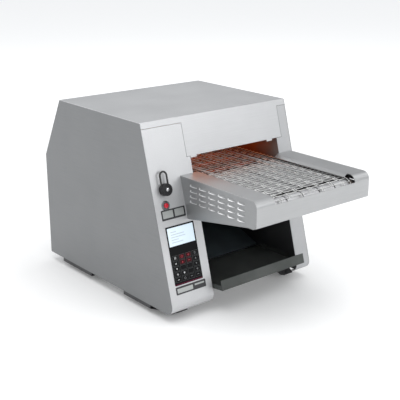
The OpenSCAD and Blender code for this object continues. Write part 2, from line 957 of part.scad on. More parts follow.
module conveyor_right_side() {
    color(steel_c) place() translate([hous_r, 0, 0]) mirror([1, 0, 0]) housing_side();
}

// Pan that closes the housing below
module conveyor_underpan() {
    low = [[-housing_out + sheet + housing_chin + 3, housing_nose_z + sheet],
        [-housing_out + housing_nose_l, housing_nose_z + sheet],
        [front_y(housing_root_z), housing_root_z + sheet]];
    up = [[low[2].x + face_reach / body_h * sheet, low[2].y + sheet],
        [low[1].x, low[1].y + sheet], [low[0].x, low[0].y + sheet]];
    color(steel_c) place() along_x(hous_l + sheet, hous_r - sheet) polygon(concat(low, up));
}

// ---------------------------------------------------------------- belt

// A rail beside the belt, which carries the shafts and the cross bars
module belt_rail(x0) {
    half = rail_h / 2;
    color(dark_steel_c) place() difference() {
        union() {
            span([x0, idler_y, belt_mid_z - half], [x0 + rail_t, drive_y, belt_mid_z + half]);
            for (y = [idler_y, drive_y]) translate([x0, y, belt_mid_z]) rod_x(half, 0, rail_t);
        }
        for (y = [idler_y, drive_y]) translate([x0 - 1, y, belt_mid_z])
            rod_x(bearing_d / 2, 0, rail_t + 2);
        for (i = [0:lower_heater_n - 1])
            translate([x0 - 1, lower_first + i * heater_pitch, lower_heater_z])
                rod_x(heater_d / 2 + 2, 0, rail_t + 2);
    }
}

module left_belt_rail() {
    belt_rail(rail_l);
}

module right_belt_rail() {
    belt_rail(rail_r);
}

// Cross bars between the rails, the slide strips under the belt's upper run, and the sheet below
// the strips where the bread is laid on
module belt_support() {
    strip_y0 = idler_y + belt_r + strip_end;
    strip_y1 = drive_y - belt_r - strip_end;
    sheet_y1 = front_y(belt_top_z) - belt_sheet_in;
    color(dark_steel_c) place() {
        for (i = [0:bar_n - 1]) translate([0, bar_first + i * bar_pitch, bar_z])
            span([rail_l + rail_t, 0, 0], [rail_r, bar_w, bar_w]);
        for (i = [-1:1]) translate([bay_mid + i * belt_w / 3, 0, bar_z + bar_w])
            span([-strip_w / 2, strip_y0, 0], [strip_w / 2, strip_y1, strip_t]);
        span([rail_l + rail_t, strip_y0, bar_z + bar_w], [rail_r, sheet_y1, bar_z + bar_w + sheet]);
    }
}

// A point of the belt's middle line, s along it from the front end of the upper run: [y, z]
function belt_point(s) =
    let (turn = PI * belt_line_r, a1 = belt_run + turn, a2 = a1 + belt_run)
    s < belt_run ? [idler_y + s, belt_mid_z + belt_line_r]
    : s < a1 ? let (a = (s - belt_run) / turn * 180)
        [drive_y + belt_line_r * sin(a), belt_mid_z + belt_line_r * cos(a)]
    : s < a2 ? [drive_y - (s - a1), belt_mid_z - belt_line_r]
    : let (a = (s - a2) / turn * 180)
        [idler_y - belt_line_r * sin(a), belt_mid_z - belt_line_r * cos(a)];

// One strand: a wire across the belt with bends that reach back to the next strand
module strand(reach, start) {
    bends = floor((belt_w - start - belt_wire) / bend_pitch);
    linear_extrude(belt_wire, center = true) {
        translate([0, -belt_wire / 2]) square([belt_w, belt_wire]);
        for (i = [0:bends]) translate([start + i * bend_pitch, 0])
            square([belt_wire, reach - belt_wire / 4]);
    }
}

module conveyor_belt() {
    color(bright_c) place() for (i = [0:strand_n - 1]) {
        p = belt_point(i * strand_step);
        q = belt_point(((i + 1) % strand_n) * strand_step);
        d = q - p;
        translate([belt_l, p.x, p.y]) rotate([atan2(d.y, d.x), 0, 0])
            strand(norm(d), i % 2 == 0 ? belt_wire : bend_pitch / 2);
    }
}

// Flanged bushes for the two shafts
module shaft_bearings() {
    color("peru") place() for (y = [idler_y, drive_y], s = [0, 1])
        translate([s == 0 ? rail_l : rail_r, y, belt_mid_z]) difference() {
            union() {
                rod_x(bearing_d / 2, 0, rail_t);
                translate([s == 0 ? rail_t : -bearing_rim_t, 0, 0])
                    rod_x(bearing_rim / 2, 0, bearing_rim_t);
            }
            rod_x(shaft_d / 2 + run_gap, -5, 10);
        }
}

module drive_shaft() {
    color(bright_c) place() translate([0, drive_y, belt_mid_z])
        rod_x(shaft_d / 2, bay_l - sheet - shaft_out, rail_r + rail_t + play);
}

module idler_shaft() {
    color(bright_c) place() translate([0, idler_y, belt_mid_z])
        rod_x(shaft_d / 2, rail_l - play, rail_r + rail_t + play);
}

function roller_xs() = [for (i = [0:roller_n - 1]) belt_l + (i + 0.5) * roller_pitch];

// Toothed wheels of the drive shaft
module drive_sprockets() {
    tip = roller_r;
    root = roller_r - tooth_h;
    step = 360 / sprocket_teeth;
    pts = [for (i = [0:sprocket_teeth - 1], k = [[-0.5, root], [-0.26, root], [-0.12, tip],
        [0.12, tip], [0.26, root]]) k[1] * [cos((i + k[0]) * step), sin((i + k[0]) * step)]];
    color(dark_steel_c) place() for (x = roller_xs()) translate([x, drive_y, belt_mid_z])
        rotate([90, 0, 90]) linear_extrude(wheel_w, center = true) difference() {
            polygon(pts);
            circle(shaft_d / 2);
        }
}

// Tube rollers of the idler shaft: a shell and two end discs each
module idler_rollers() {
    color(bright_c) place() for (x = roller_xs()) translate([x, idler_y, belt_mid_z])
        rotate([0, 90, 0]) rotate_extrude() {
            translate([roller_r - drum_wall, -drum_l / 2]) square([drum_wall, drum_l]);
            for (z = [-drum_l / 2, drum_l / 2 - drum_wall]) translate([shaft_d / 2, z])
                square([roller_r - shaft_d / 2 - drum_wall / 2, drum_wall]);
        }
}

// ---------------------------------------------------------------- drive and electrics

module drive_coupling() {
    x1 = bay_l - sheet - coupling_gap;
    color(bright_c) place() translate([0, drive_y, belt_mid_z]) difference() {
        union() {
            rod_x(coupling_r, x1 - coupling_l, x1);
            rod_x(gear_shaft_r, bracket_x - gearbox_l * 0.6, x1 - coupling_l);
        }
        rod_x(shaft_d / 2, bay_l - sheet - shaft_out, x1 + 1);
    }
}

// Bracket that holds the gearmotor off the inner wall
module motor_bracket() {
    wall = bay_l - sheet;
    half = gearbox_w / 2;
    color(steel_c) place() translate([0, drive_y, belt_mid_z]) difference() {
        union() {
            span([bracket_x, -half, -half], [bracket_x + bracket_t, half, half]);
            for (z = [-half, half - bracket_t])
                span([bracket_x, -half, z], [wall, half, z + bracket_t]);
        }
        rod_x(gear_shaft_r + 2 * bracket_t - 1, bracket_x - 1, bracket_x + bracket_t + 1);
    }
}

module gearmotor() {
    half = gearbox_w / 2;
    x1 = bracket_x - gearbox_l;
    color("slategray") place() translate([0, drive_y, belt_mid_z]) difference() {
        union() {
            span([x1, -half, -half], [bracket_x, half, half]);
            rod_x(motor_d / 2, -side_x + sheet + motor_end_gap, x1);
            for (i = [1:fin_n]) translate([x1 - i * fin_pitch, 0, 0])
                rod_x(motor_d / 2 + fin_h, 0, fin_t);
        }
        rod_x(gear_shaft_r + run_gap, bracket_x - gearbox_l * 0.7, bracket_x + 1);
    }
}

// Cooling fan: two square rims with bolt holes, round barrel, motor cup and three struts
module fan_frame() {
    back = body_d - sheet;
    color(black_c) place() translate([fan_x, back, fan_z]) rotate([90, 0, 0]) {
        for (z = [0, fan_t - fan_rim]) translate([0, 0, z]) linear_extrude(fan_rim) difference() {
            rounded(fan_w, fan_w, 6);
            circle(fan_bore_r);
            for (x = [-1, 1], y = [-1, 1]) translate([x, y] * (fan_w / 2 - fan_hole_in))
                circle(fan_hole_r);
        }
        translate([0, 0, fan_rim]) linear_extrude(fan_t - 2 * fan_rim) difference() {
            circle(fan_bore_r + 1.5);
            circle(fan_bore_r);
        }
        translate([0, 0, fan_t - fan_rim]) {
            difference() {
                cylinder(r = hub_r, h = fan_rim);
                translate([0, 0, -1]) cylinder(r = axle_r + run_gap, h = fan_rim);
            }
            for (a = [0, 120, 240]) rotate(a + 15)
                span([hub_r - 1, -fan_strut / 2, 0], [fan_bore_r + 1, fan_strut / 2, fan_rim - 1]);
        }
    }
}

// Rotor: cup, axle and pitched blades
module fan_rotor() {
    back = body_d - sheet;
    tip = fan_bore_r - 3 * play;
    cup = 3;
    depth = fan_t - fan_rim - play - cup;
    color(black_c) place() translate([fan_x, back, fan_z]) rotate([90, 0, 0]) {
        translate([0, 0, cup]) cylinder(r = hub_r, h = depth);
        translate([0, 0, cup + depth - eps]) cylinder(r = axle_r, h = fan_rim - 1);
        intersection() {
            translate([0, 0, cup + 1]) cylinder(r = tip, h = depth - 2);
            for (i = [0:fan_blades - 1]) rotate(i * 360 / fan_blades)
                translate([0, 0, cup + depth / 2]) rotate([blade_a, 0, 0])
                    span([hub_r - 1, -blade_t / 2, -fan_t], [tip + 1, blade_t / 2, fan_t]);
        }
    }
}

// Finger guard outside the fan: rings and spokes cut from sheet
module fan_guard() {
    color(bright_c) place() translate([fan_x, body_d, fan_z]) rotate([-90, 0, 0])
        linear_extrude(head_h - 0.4) {
            for (r = [guard_pitch + 1:guard_pitch:fan_bore_r + 1]) difference() {
                circle(r);
                circle(r - guard_wire);
            }
            for (a = [45, 135]) rotate(a)
                square([fan_w * 1.08, guard_wire * 1.4], center = true);
        }
}

// Power inlet: flange, recess and three blades
module power_inlet() {
    w = inlet_w;
    l = inlet_l;
    floor_z = -inlet_in + inlet_wall;
    color(black_c) place() translate([fan_x, body_d, inlet_z]) rotate([-90, 0, 0]) {
        difference() {
            union() {
                linear_extrude(head_h - eps) rounded(w + 2 * inlet_rim, l + 2 * inlet_rim, 4);
                translate([0, 0, -inlet_in]) linear_extrude(inlet_in)
                    square([w, l], center = true);
            }
            translate([0, 0, floor_z]) linear_extrude(2 * inlet_in)
                square([w - 2 * inlet_wall, l - 2 * inlet_wall], center = true);
        }
        for (p = [[-9, -3], [9, -3], [0, 5]]) translate([p.x, p.y, floor_z - 1])
            span([-1, -blade_w / 2, 0], [1, blade_w / 2, 3 * blade_w]);
    }
}

// Circuit board on four standoffs of the left inner wall, with relays, a heat sink and capacitors
module control_board() {
    x1 = bay_l - sheet;
    face = -board_off - board_t;
    color(board_c) place() translate([x1, board_y, board_z]) {
        span([face, 0, 0], [-board_off, board_l, board_h]);
        for (y = [board_in, board_l - board_in], z = [board_in, board_h - board_in])
            translate([0, y, z]) rod_x(3, -board_off, 0);
        for (i = [0:relay_n - 1]) translate([face, 14 + i * relay_pitch, 30])
            span([-relay_t, 0, 0], [0, relay_w, relay_h]);
        translate([face, board_l / 6, board_h * 0.62])
            span([-sink_t, 0, 0], [0, sink_l, sink_h]);
        for (i = [0:capacitor_n - 1])
            translate([face, board_l * 0.62 + i * capacitor_pitch, board_h * 0.73])
                rod_x(capacitor_r, -capacitor_l, 0);
    }
}

// Contactor of the heating circuit, on the bottom pan
module contactor() {
    w = contactor_w / 2;
    l = contactor_l / 2;
    cap_in = pole_w / 2;
    color(black_c) place() translate([fan_x, contactor_y, base_z]) {
        span([-w, -l, 0], [w, l, contactor_h]);
        span([-w + cap_in, -l + pole_l, contactor_h],
            [w - cap_in, l - pole_l, contactor_h + contactor_cap_h]);
        for (i = [-1:1], y = [-l, l - pole_l])
            translate([i * pole_pitch - pole_w / 2, y, contactor_h])
                span([0, 0, 0], [pole_w, pole_l, pole_h]);
    }
}

// Terminal block on the bottom pan
module terminal_block() {
    w = block_w / 2;
    color(ceramic_c) place() translate([fan_x - block_l / 2, block_y, base_z]) {
        span([0, -w, 0], [block_l, w, block_h]);
        for (i = [0:terminal_n - 1]) translate([(i + 0.4) * terminal_pitch, 0, block_h]) {
            span([0, -w, 0], [block_rib, w, block_rib_h]);
            translate([0.6 * terminal_pitch, 0, 0]) cylinder(r = terminal_r, h = terminal_h);
        }
    }
}

// ---------------------------------------------------------------- controls

// Display with its frame, behind the window of the column cover
module display_module() {
    color("aliceblue") place() on_face(keypad_x, keypad_z) translate([0, window_up, 0]) {
        translate([0, 0, -sheet - screen_t]) linear_extrude(screen_t)
            rounded(window_w + 2 * screen_rim, window_l + 2 * screen_rim, sheet_corner);
        translate([0, 0, -sheet]) linear_extrude(sheet + keypad_t / 2)
            square([window_w, window_l], center = true);
    }
}

// Keypad sheet with the display window and the raised keys
module keypad_sheet() {
    color(black_c) place() on_face(keypad_x, keypad_z) {
        linear_extrude(keypad_t) difference() {
            translate([0, keypad_l / 2]) rounded(keypad_w, keypad_l, sheet_corner);
            translate([0, window_up])
                square([window_w + 2 * window_gap, window_l + 2 * window_gap], center = true);
        }
        for (c = [0:key_cols - 1], k = [0:key_rows - 1])
            translate([(c - (key_cols - 1) / 2) * key_pitch_x, keys_up + k * key_pitch_y, keypad_t])
                linear_extrude(key_h) rounded(key_w, key_l, key_corner);
    }
}

module button_bezel() {
    rim = button_d + 2 * bezel_w;
    color(bright_c) place() on_face(button_x, button_z) difference() {
        union() {
            cylinder(d1 = rim, d2 = rim - 2 * bezel_taper, h = bezel_h);
            translate([0, 0, -bezel_in]) cylinder(d = button_d - 2 * bezel_gap, h = bezel_in);
        }
        cylinder(d = button_d - 2 * (button_wall - button_gap), h = cut, center = true);
    }
}

// Switch behind the push button, with the bore of its plunger
module power_switch() {
    color(black_c) place() on_face(button_x, button_z) difference() {
        translate([0, 0, -bezel_in - switch_l])
            cylinder(d = button_d + 2 * switch_over, h = switch_l);
        translate([0, 0, -bezel_in - plunger_d])
            cylinder(d = plunger_d + 2 * plunger_gap, h = 2 * plunger_d);
    }
}

// Push button: cap with a bevelled rim on its plunger
module power_button() {
    wide = button_d - 2 * button_wall;
    color(red_c) place() on_face(button_x, button_z) {
        translate([0, 0, -button_out]) cylinder(d = wide, h = 2 * button_out);
        translate([0, 0, button_out])
            cylinder(d1 = wide, d2 = wide - 2 * button_tip, h = button_tip);
        translate([0, 0, -button_out - plunger_l]) cylinder(d = plunger_d, h = plunger_l);
    }
}

// Collar of the connector, with the socket's bore
module socket_collar() {
    color(black_c) place() on_face(socket_x, socket_z) difference() {
        union() {
            cylinder(d = collar_d, h = collar_h);
            translate([0, 0, -collar_in])
                cylinder(d = plug_d + 2 * collar_wall, h = collar_in);
        }
        cylinder(d = plug_d, h = cut, center = true);
    }
}

// Ribbed cap with its plug
module socket_cap() {
    seat = collar_h + cap_gap;
    crown = cap_h - cap_crown;
    color(black_c) place() on_face(socket_x, socket_z) {
        difference() {
            translate([0, 0, seat]) cylinder(d = cap_d, h = crown - seat);
            loop_legs(loop_d + 2 * loop_gap);
            for (i = [0:cap_ribs - 1]) rotate(i * 360 / cap_ribs)
                translate([cap_d / 2 + cap_gap, 0, seat + cap_crown]) cylinder(r = 1, h = cap_h);
        }
        translate([0, 0, crown])
            cylinder(d1 = cap_d - cap_crown, d2 = cap_d - 3 * cap_crown, h = cap_crown);
        translate([0, 0, cap_h]) cylinder(d = cap_boss_d, h = cap_boss_h);
        translate([0, 0, -plug_in]) cylinder(d = plug_d - 2 * plug_gap, h = plug_in + seat);
    }
}

// The two legs of the pull loop, or their holes in the cap, d across
module loop_legs(d) {
    for (s = [-1, 1]) translate([s * bow_r, loop_root, cap_h / 2]) rotate([-90, 0, 0])
        cylinder(d = d, h = loop_top - loop_root);
}

// Pull loop: two legs that stand in holes of the cap, and a round bow
module cap_loop() {
    color(black_c) place() on_face(socket_x, socket_z) {
        loop_legs(loop_d);
        translate([0, loop_top, cap_h / 2]) rotate_extrude(angle = 180)
            translate([bow_r, 0]) circle(d = loop_d);
    }
}

// ---------------------------------------------------------------- feet

// Brackets under the cabinet's corners, each with a weld nut for a foot
module foot_brackets() {
    color(black_c) place() for (s = [0, 1]) mirror([s, 0, 0]) {
        bracket([[-bracket_in, -bracket_nose], [-bracket_in, bracket_back],
            [-side_x + sheet, bracket_back], [-side_x + sheet, bracket_front],
            [-side_x + bracket_nose_in, -bracket_nose]], -front_foot);
        bracket([[-bracket_in, rear_bracket_y], [-bracket_in, rear_bracket_y + rear_bracket_l],
            [-side_x + sheet, rear_bracket_y + rear_bracket_l], [-side_x + sheet, rear_bracket_y]],
            rear_foot);
    }
}

// One bracket from its plan, whose first two points are its inner edge, and the foot's place
module bracket(plan, y_foot) {
    y1 = plan[1].y;
    y0 = plan[3].y;
    difference() {
        union() {
            translate([0, 0, -bracket_h]) linear_extrude(sheet) polygon(plan);
            span([-side_x + sheet, y0, -bracket_h], [-side_x + 2 * sheet, y1, 0]);
            span([-bracket_in - sheet, plan[0].y, -bracket_h], [-bracket_in, y1, 0]);
            span([-bracket_in - sheet, plan[0].y, -eps], [-bracket_in, y1, sheet]);
            translate([-foot_x, y_foot, -bracket_h + sheet]) cylinder(d = nut_d, h = nut_h, $fn = 6);
        }
        translate([-foot_x, y_foot, -bracket_h - 1]) cylinder(r = stem_d / 2 + run_gap, h = 30);
    }
}

module stem(x, y) {
    color(bright_c) place() translate([x, y, -foot_h + pad_h]) {
        cylinder(d = stem_d, h = foot_h - pad_h - bracket_h + sheet + nut_h + 1);
        cylinder(d = stem_d + 5, h = 3, $fn = 6);
    }
}

module pad(x, y) {
    color(black_c) place() translate([x, y, -foot_h]) {
        cylinder(d1 = pad_d - 2, d2 = pad_d, h = 1);
        translate([0, 0, 1]) cylinder(d = pad_d, h = pad_h - 3);
        translate([0, 0, pad_h - 2]) cylinder(d1 = pad_d, d2 = pad_d - 8, h = 2);
    }
}

module front_left_stem() stem(-foot_x, -front_foot);
module front_left_pad() pad(-foot_x, -front_foot);
module front_right_stem() stem(foot_x, -front_foot);
module front_right_pad() pad(foot_x, -front_foot);
module rear_left_stem() stem(-foot_x, rear_foot);
module rear_left_pad() pad(-foot_x, rear_foot);
module rear_right_stem() stem(foot_x, rear_foot);
module rear_right_pad() pad(foot_x, rear_foot);

// ---------------------------------------------------------------- parts

base_pan();
left_side_panel();
right_side_panel();
top_cover();
rear_panel();
left_column_cover();
right_column_cover();
left_inner_wall();
right_inner_wall();
upper_reflector();
lower_reflector();
upper_heaters();
lower_heaters();
heater_bushes();
discharge_chute();
tray_runners();
conveyor_shroud();
conveyor_left_side();
conveyor_right_side();
conveyor_underpan();
left_belt_rail();
right_belt_rail();
belt_support();
conveyor_belt();
shaft_bearings();
motor_bracket();
gearmotor();
fan_frame();
fan_guard();
power_inlet();
control_board();
contactor();
terminal_block();
display_module();
keypad_sheet();
button_bezel();
power_switch();
socket_collar();
foot_brackets();
cover_screws();
drive_shaft();
drive_sprockets();
drive_coupling();
idler_shaft();
idler_rollers();
fan_rotor();
toast_tray();
power_button();
socket_cap();
cap_loop();
front_left_stem();
front_left_pad();
front_right_stem();
front_right_pad();
rear_left_stem();
rear_left_pad();
rear_right_stem();
rear_right_pad();
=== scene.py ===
# %% [markdown]
# # A conveyor toaster, dressed in Blender
#
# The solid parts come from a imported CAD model: every panel, shaft and screw has its true size and
# place. This script gives each of them the finish that the real machine shows, softens the sheet
# edges that catch the light, and models the small things that a solid model leaves plain: the woven
# wire belt, the printed keys, the screen and the blank plates.

# %% Load the frame
import json
import math

import bpy
from mathutils import Matrix, Vector


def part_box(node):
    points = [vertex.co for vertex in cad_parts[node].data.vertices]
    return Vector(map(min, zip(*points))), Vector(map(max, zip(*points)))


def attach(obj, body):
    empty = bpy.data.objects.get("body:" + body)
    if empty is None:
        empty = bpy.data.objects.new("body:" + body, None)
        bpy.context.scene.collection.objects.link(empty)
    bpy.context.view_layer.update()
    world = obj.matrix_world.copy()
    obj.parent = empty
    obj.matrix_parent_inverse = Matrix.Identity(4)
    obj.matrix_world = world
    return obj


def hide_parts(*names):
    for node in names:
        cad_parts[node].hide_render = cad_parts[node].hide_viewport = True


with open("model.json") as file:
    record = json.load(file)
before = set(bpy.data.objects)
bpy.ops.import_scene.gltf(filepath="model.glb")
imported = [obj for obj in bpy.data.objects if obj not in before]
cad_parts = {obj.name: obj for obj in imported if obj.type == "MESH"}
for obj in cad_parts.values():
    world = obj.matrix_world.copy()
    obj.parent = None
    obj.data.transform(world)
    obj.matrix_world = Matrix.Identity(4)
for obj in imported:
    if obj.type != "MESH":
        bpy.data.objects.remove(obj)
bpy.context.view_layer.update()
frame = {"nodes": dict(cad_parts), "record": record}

MM = 0.001

# %% [markdown]
# ## The sloping face
#
# Most of the controls sit on the front, which leans back. A matrix that stands on the face, with
# its own Z pointing out of the sheet, lets each control be modelled lying flat and then set in
# place with one transform. The lean comes from two sizes of the cabinet.

# %% Places on the face
FACE_LEAN = 108 * MM
HOUSING_OUT = 272 * MM
side_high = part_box("left_side_panel")[1]
SHEET = 1.2 * MM
CABINET_TOP = side_high.z + SHEET
CABINET_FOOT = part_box("base_pan")[0].z - SHEET
top_edge_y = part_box("conveyor_shroud")[0].y + HOUSING_OUT
face_angle = math.atan2(CABINET_TOP - CABINET_FOOT, FACE_LEAN)


def face_y(z):
    """Depth of the face's outer surface at a height."""
    return top_edge_y - FACE_LEAN * (CABINET_TOP - z) / (CABINET_TOP - CABINET_FOOT)


def on_face(x, z):
    """Stands on the face at x and height z: X to the right, Y up the slope, Z out of the sheet."""
    return Matrix.Translation((x, face_y(z), z)) @ Matrix.Rotation(face_angle, 4, "X")


print("face leans back by", round(90 - math.degrees(face_angle), 2), "degrees")

# %% [markdown]
# ## Camera
#
# The photograph was taken from the front left, a little above the top. The view was found by
# fitting the cabinet's corners to the picture: a long lens from about two metres. Its optical axis
# misses the middle of the picture by a few pixels, which a small lens shift repeats.

# %% The photograph's camera
PICTURE = 400
FOCAL_PIXELS = 845.5
AXIS_PIXEL = (214.5, 203.0)
AZIMUTH, ELEVATION, ROLL = -40.747, 18.152, 0.371
CAMERA_AT = Vector((-1204.2, -1455.1, 808.3)) * MM

lens = bpy.data.cameras.new("camera")
lens.sensor_width = 36
lens.lens = FOCAL_PIXELS / PICTURE * lens.sensor_width
lens.shift_x = (PICTURE / 2 - AXIS_PIXEL[0]) / PICTURE
lens.shift_y = (AXIS_PIXEL[1] - PICTURE / 2) / PICTURE
camera = bpy.data.objects.new("camera", lens)
bpy.context.scene.collection.objects.link(camera)
turn = (Matrix.Rotation(math.radians(AZIMUTH), 4, "Z")
        @ Matrix.Rotation(math.radians(90 - ELEVATION), 4, "X")
        @ Matrix.Rotation(math.radians(ROLL), 4, "Z"))
camera.matrix_world = Matrix.Translation(CAMERA_AT) @ turn
bpy.context.scene.camera = camera
print("lens", round(lens.lens, 1), "mm")

# %% [markdown]
# ## Floor and light
#
# A product shot of brushed steel is mostly a picture of what the steel reflects. The sloping face
# turns its reflection low to the front, so a wide soft light there makes the face almost white at
# its top left and greyer towards its foot and its right. The top, the louvres and the rolled edges
# reflect the sky behind, where a second wide light hangs. The strongest one is overhead and lifts
# the floor, which the left side and the housing reflect. Two small ones brighten the housing's
# roll from the right and the side panel from the left. The floor is so wide that its edge is out
# of sight.

# %% Stage
FLOOR_SIZE, FLOOR_DROP = 80, 0.0003
ROOM_TINT, ROOM_STRENGTH = (0.96, 0.98, 1.0, 1), 0.49
SOFTBOXES = {    # where it hangs, what it faces, its watts, its width and its height
    "face_softbox": ((1.4, -3.2, 1.7), (0, 0, 0.3), 28, 2.6, 1.8),
    "back_softbox": ((0.5, 2.8, 2.3), (0, 0, 0.3), 8, 4.6, 1.6),
    "top_softbox": ((-0.2, -0.7, 3.2), (-0.2, -0.7, 0), 82, 3.4, 3.4),
    "right_softbox": ((2.7, -0.9, 2.0), (0, -0.2, 0.3), 10, 1.8, 1.4),
    "left_softbox": ((-2.2, 2.7, 1.9), (0, -0.2, 0.3), 20, 1.8, 1.2),
}


def deselect():
    bpy.ops.object.select_all(action="DESELECT")


deselect()
bpy.ops.mesh.primitive_plane_add(size=FLOOR_SIZE, location=(0, 0, -FLOOR_DROP))
floor = bpy.context.object
floor.name = "floor"


def softbox(name, at, towards, watts, width, height):
    """A soft rectangular light at one point that faces another."""
    lamp = bpy.data.lights.new(name, "AREA")
    lamp.energy, lamp.shape = watts, "RECTANGLE"
    lamp.size, lamp.size_y = width, height
    holder = bpy.data.objects.new(name, lamp)
    bpy.context.scene.collection.objects.link(holder)
    holder.location = at
    holder.rotation_euler = (Vector(towards) - Vector(at)).to_track_quat("-Z", "Y").to_euler()


for name, settings in SOFTBOXES.items():
    softbox(name, *settings)

world = bpy.data.worlds.new("studio")
world.use_nodes = True
room = world.node_tree.nodes["Background"].inputs
room["Color"].default_value = ROOM_TINT
room["Strength"].default_value = ROOM_STRENGTH
bpy.context.scene.world = world
bpy.context.scene.view_settings.view_transform = "Standard"
print(len(SOFTBOXES), "softboxes and a pale room")

# %% [markdown]
# ## Shader maths in Python
#
# A finish is a graph of nodes, and most of its nodes do sums: a noise times a strength, one minus a
# mask. Wrapping a socket in a small class with overloaded operators lets those sums be written as
# ordinary expressions. Every other node comes from one method, which sets the node's options first
# and then fills or links its inputs.

# %% Sockets that add and multiply
class Value:
    """A shader socket on which Python's operators work."""

    def __init__(self, finish, socket):
        self.finish, self.socket = finish, socket

    def sum(self, operation, first, second):
        return self.finish.node("ShaderNodeMath", {"operation": operation}, {0: first, 1: second})

    def __add__(self, other):
        return self.sum("ADD", self, other)

    def __radd__(self, other):
        return self.sum("ADD", other, self)

    def __sub__(self, other):
        return self.sum("SUBTRACT", self, other)

    def __rsub__(self, other):
        return self.sum("SUBTRACT", other, self)

    def __mul__(self, other):
        return self.sum("MULTIPLY", self, other)

    def __lt__(self, other):
        return self.sum("LESS_THAN", self, other)

    def __gt__(self, other):
        return self.sum("GREATER_THAN", self, other)


class Finish:
    """One material: a shader, and the nodes that vary it over the surface."""

    def __init__(self, name, colour, roughness, metallic=0.0, **constants):
        self.material = bpy.data.materials.new(name)
        self.material.use_nodes = True
        self.tree = self.material.node_tree
        self.shader = self.tree.nodes["Principled BSDF"]
        self.set("Base Color", (*colour, 1))
        self.set("Roughness", roughness)
        self.set("Metallic", metallic)
        for socket, number in constants.items():
            self.set(socket.replace("_", " "), number)

    def feed(self, socket, value):
        if isinstance(value, Value):
            self.tree.links.new(value.socket, socket)
        else:
            socket.default_value = value

    def set(self, socket, value):
        self.feed(self.shader.inputs[socket], value)

    def node(self, kind, settings, inputs, output=0):
        """Adds a node, sets its options, then fills or links its inputs."""
        made = self.tree.nodes.new(kind)
        for key, value in settings.items():
            setattr(made, key, value)
        for socket, value in inputs.items():
            self.feed(made.inputs[socket], value)
        return Value(self, made.outputs[output])

    def place(self, scale=(1, 1, 1), at=(0, 0, 0), turned=(0, 0, 0)):
        """Object coordinates in metres, stretched by scale, with their origin moved to a point."""
        where = self.node("ShaderNodeTexCoord", {}, {}, "Object")
        moved = self.node("ShaderNodeVectorMath", {"operation": "SUBTRACT"}, {0: where, 1: at})
        return self.node("ShaderNodeMapping", {}, {0: moved, "Rotation": turned, "Scale": scale})

    def axis(self, name):
        """One of the object coordinates, in metres."""
        where = self.node("ShaderNodeTexCoord", {}, {}, "Object")
        return self.node("ShaderNodeSeparateXYZ", {}, {0: where}, name)

    def noise(self, where, scale, detail=2.0, rough=0.5):
        inputs = {"Vector": where, "Scale": scale, "Detail": detail, "Roughness": rough}
        return self.node("ShaderNodeTexNoise", {}, inputs, 0)

    def clamped(self, value, low, high):
        """0 where value is under low, 1 where it is over high, and a smooth step between."""
        step = {"interpolation_type": "SMOOTHSTEP"}
        return self.node("ShaderNodeMapRange", step, {0: value, 1: low, 2: high, 3: 0.0, 4: 1.0})

    def mix(self, low, high, factor):
        """A colour between two colours."""
        pair = [c if isinstance(c, Value) else (*c, 1) for c in (low, high)]
        inputs = {0: factor, 6: pair[0], 7: pair[1]}
        return self.node("ShaderNodeMix", {"data_type": "RGBA"}, inputs, 2)

    def complete(self, colour, gloss, height, strength, depth):
        """Sets the colour and gloss, lifts the surface by a height, and gives the material."""
        self.set("Base Color", colour)
        self.set("Roughness", gloss)
        inputs = {"Strength": strength, "Distance": depth, "Height": height}
        self.set("Normal", self.node("ShaderNodeBump", {}, inputs))
        return self.material


print("shader helpers ready")

# %% [markdown]
# ## Satin stainless sheet
#
# The sheet is brushed in one direction. Each scratch is far finer than a pixel, so what shows is a
# faint streak along the grain, a small change of gloss, and highlights drawn out across it. A
# noise squeezed in two axes and left long in the third gives the streaks. A slow second noise adds
# the smudges that hands leave on a machine in use. One function takes the grain's axis, two tones
# and a gloss. The panels differ in grain and gloss, and several in tone only as painted light: the
# side panels, the right column and the housing are the same steel painted darker as shade, and the
# louvres' lips and ends painted lighter as a highlight.

# %% Brushed steel
STREAK, SHORT = 14, 1500


def satin_steel(name, along, dark=(0.52, 0.525, 0.535), light=(0.60, 0.605, 0.615), gloss=0.42,
                metallic=0.82):
    """Stainless sheet with a satin grain along one axis."""
    finish = Finish(name, light, gloss, metallic)
    stretch = tuple(STREAK if axis == along else SHORT for axis in "XYZ")
    grain = finish.noise(finish.place(scale=stretch), 1.0, detail=3.0)
    smudge = finish.noise(finish.place(), 9.0, detail=3.0)
    tone = finish.clamped(grain * 0.55 + smudge * 0.45, 0.25, 0.75)
    worn = gloss + (grain - 0.5) * 0.16 + (smudge - 0.5) * 0.12
    return finish.complete(finish.mix(dark, light, tone), worn, grain, 0.05, 0.0002)


steel_across = satin_steel("steel_across", "X")
steel_upright = satin_steel("steel_upright", "Z", (0.56, 0.565, 0.575), (0.64, 0.645, 0.655),
                            0.46, 0.62)
# painted shade: the right column is the face's steel in darker tones
right_steel_painted_shade = satin_steel("right_steel_painted_shade", "Z", (0.44, 0.445, 0.455), (0.52, 0.525, 0.535),
                          0.46, 0.62)
# painted shade: the side panels are the same steel in much darker tones
side_steel_painted_shade = satin_steel("side_steel_painted_shade", "Y", (0.215, 0.22, 0.225), (0.26, 0.265, 0.27))
# painted shade: the housing's front is the same steel in darker tones
shroud_steel_painted_shade = satin_steel("shroud_steel_painted_shade", "X", (0.40, 0.405, 0.41), (0.47, 0.475, 0.48), 0.38)
# painted shade: the louvred housing sides are the same steel in darker tones
housing_steel_painted_shade = satin_steel("housing_steel_painted_shade", "Y", (0.31, 0.315, 0.32), (0.37, 0.375, 0.38), 0.46)
# painted highlight: a lighter copy of the steel for the louvres' lips and left ends
painted_highlight_steel = satin_steel("painted_highlight_steel", "Y", (0.68, 0.68, 0.69), (0.76, 0.76, 0.77),
                              0.34)
print("satin steel along three axes")

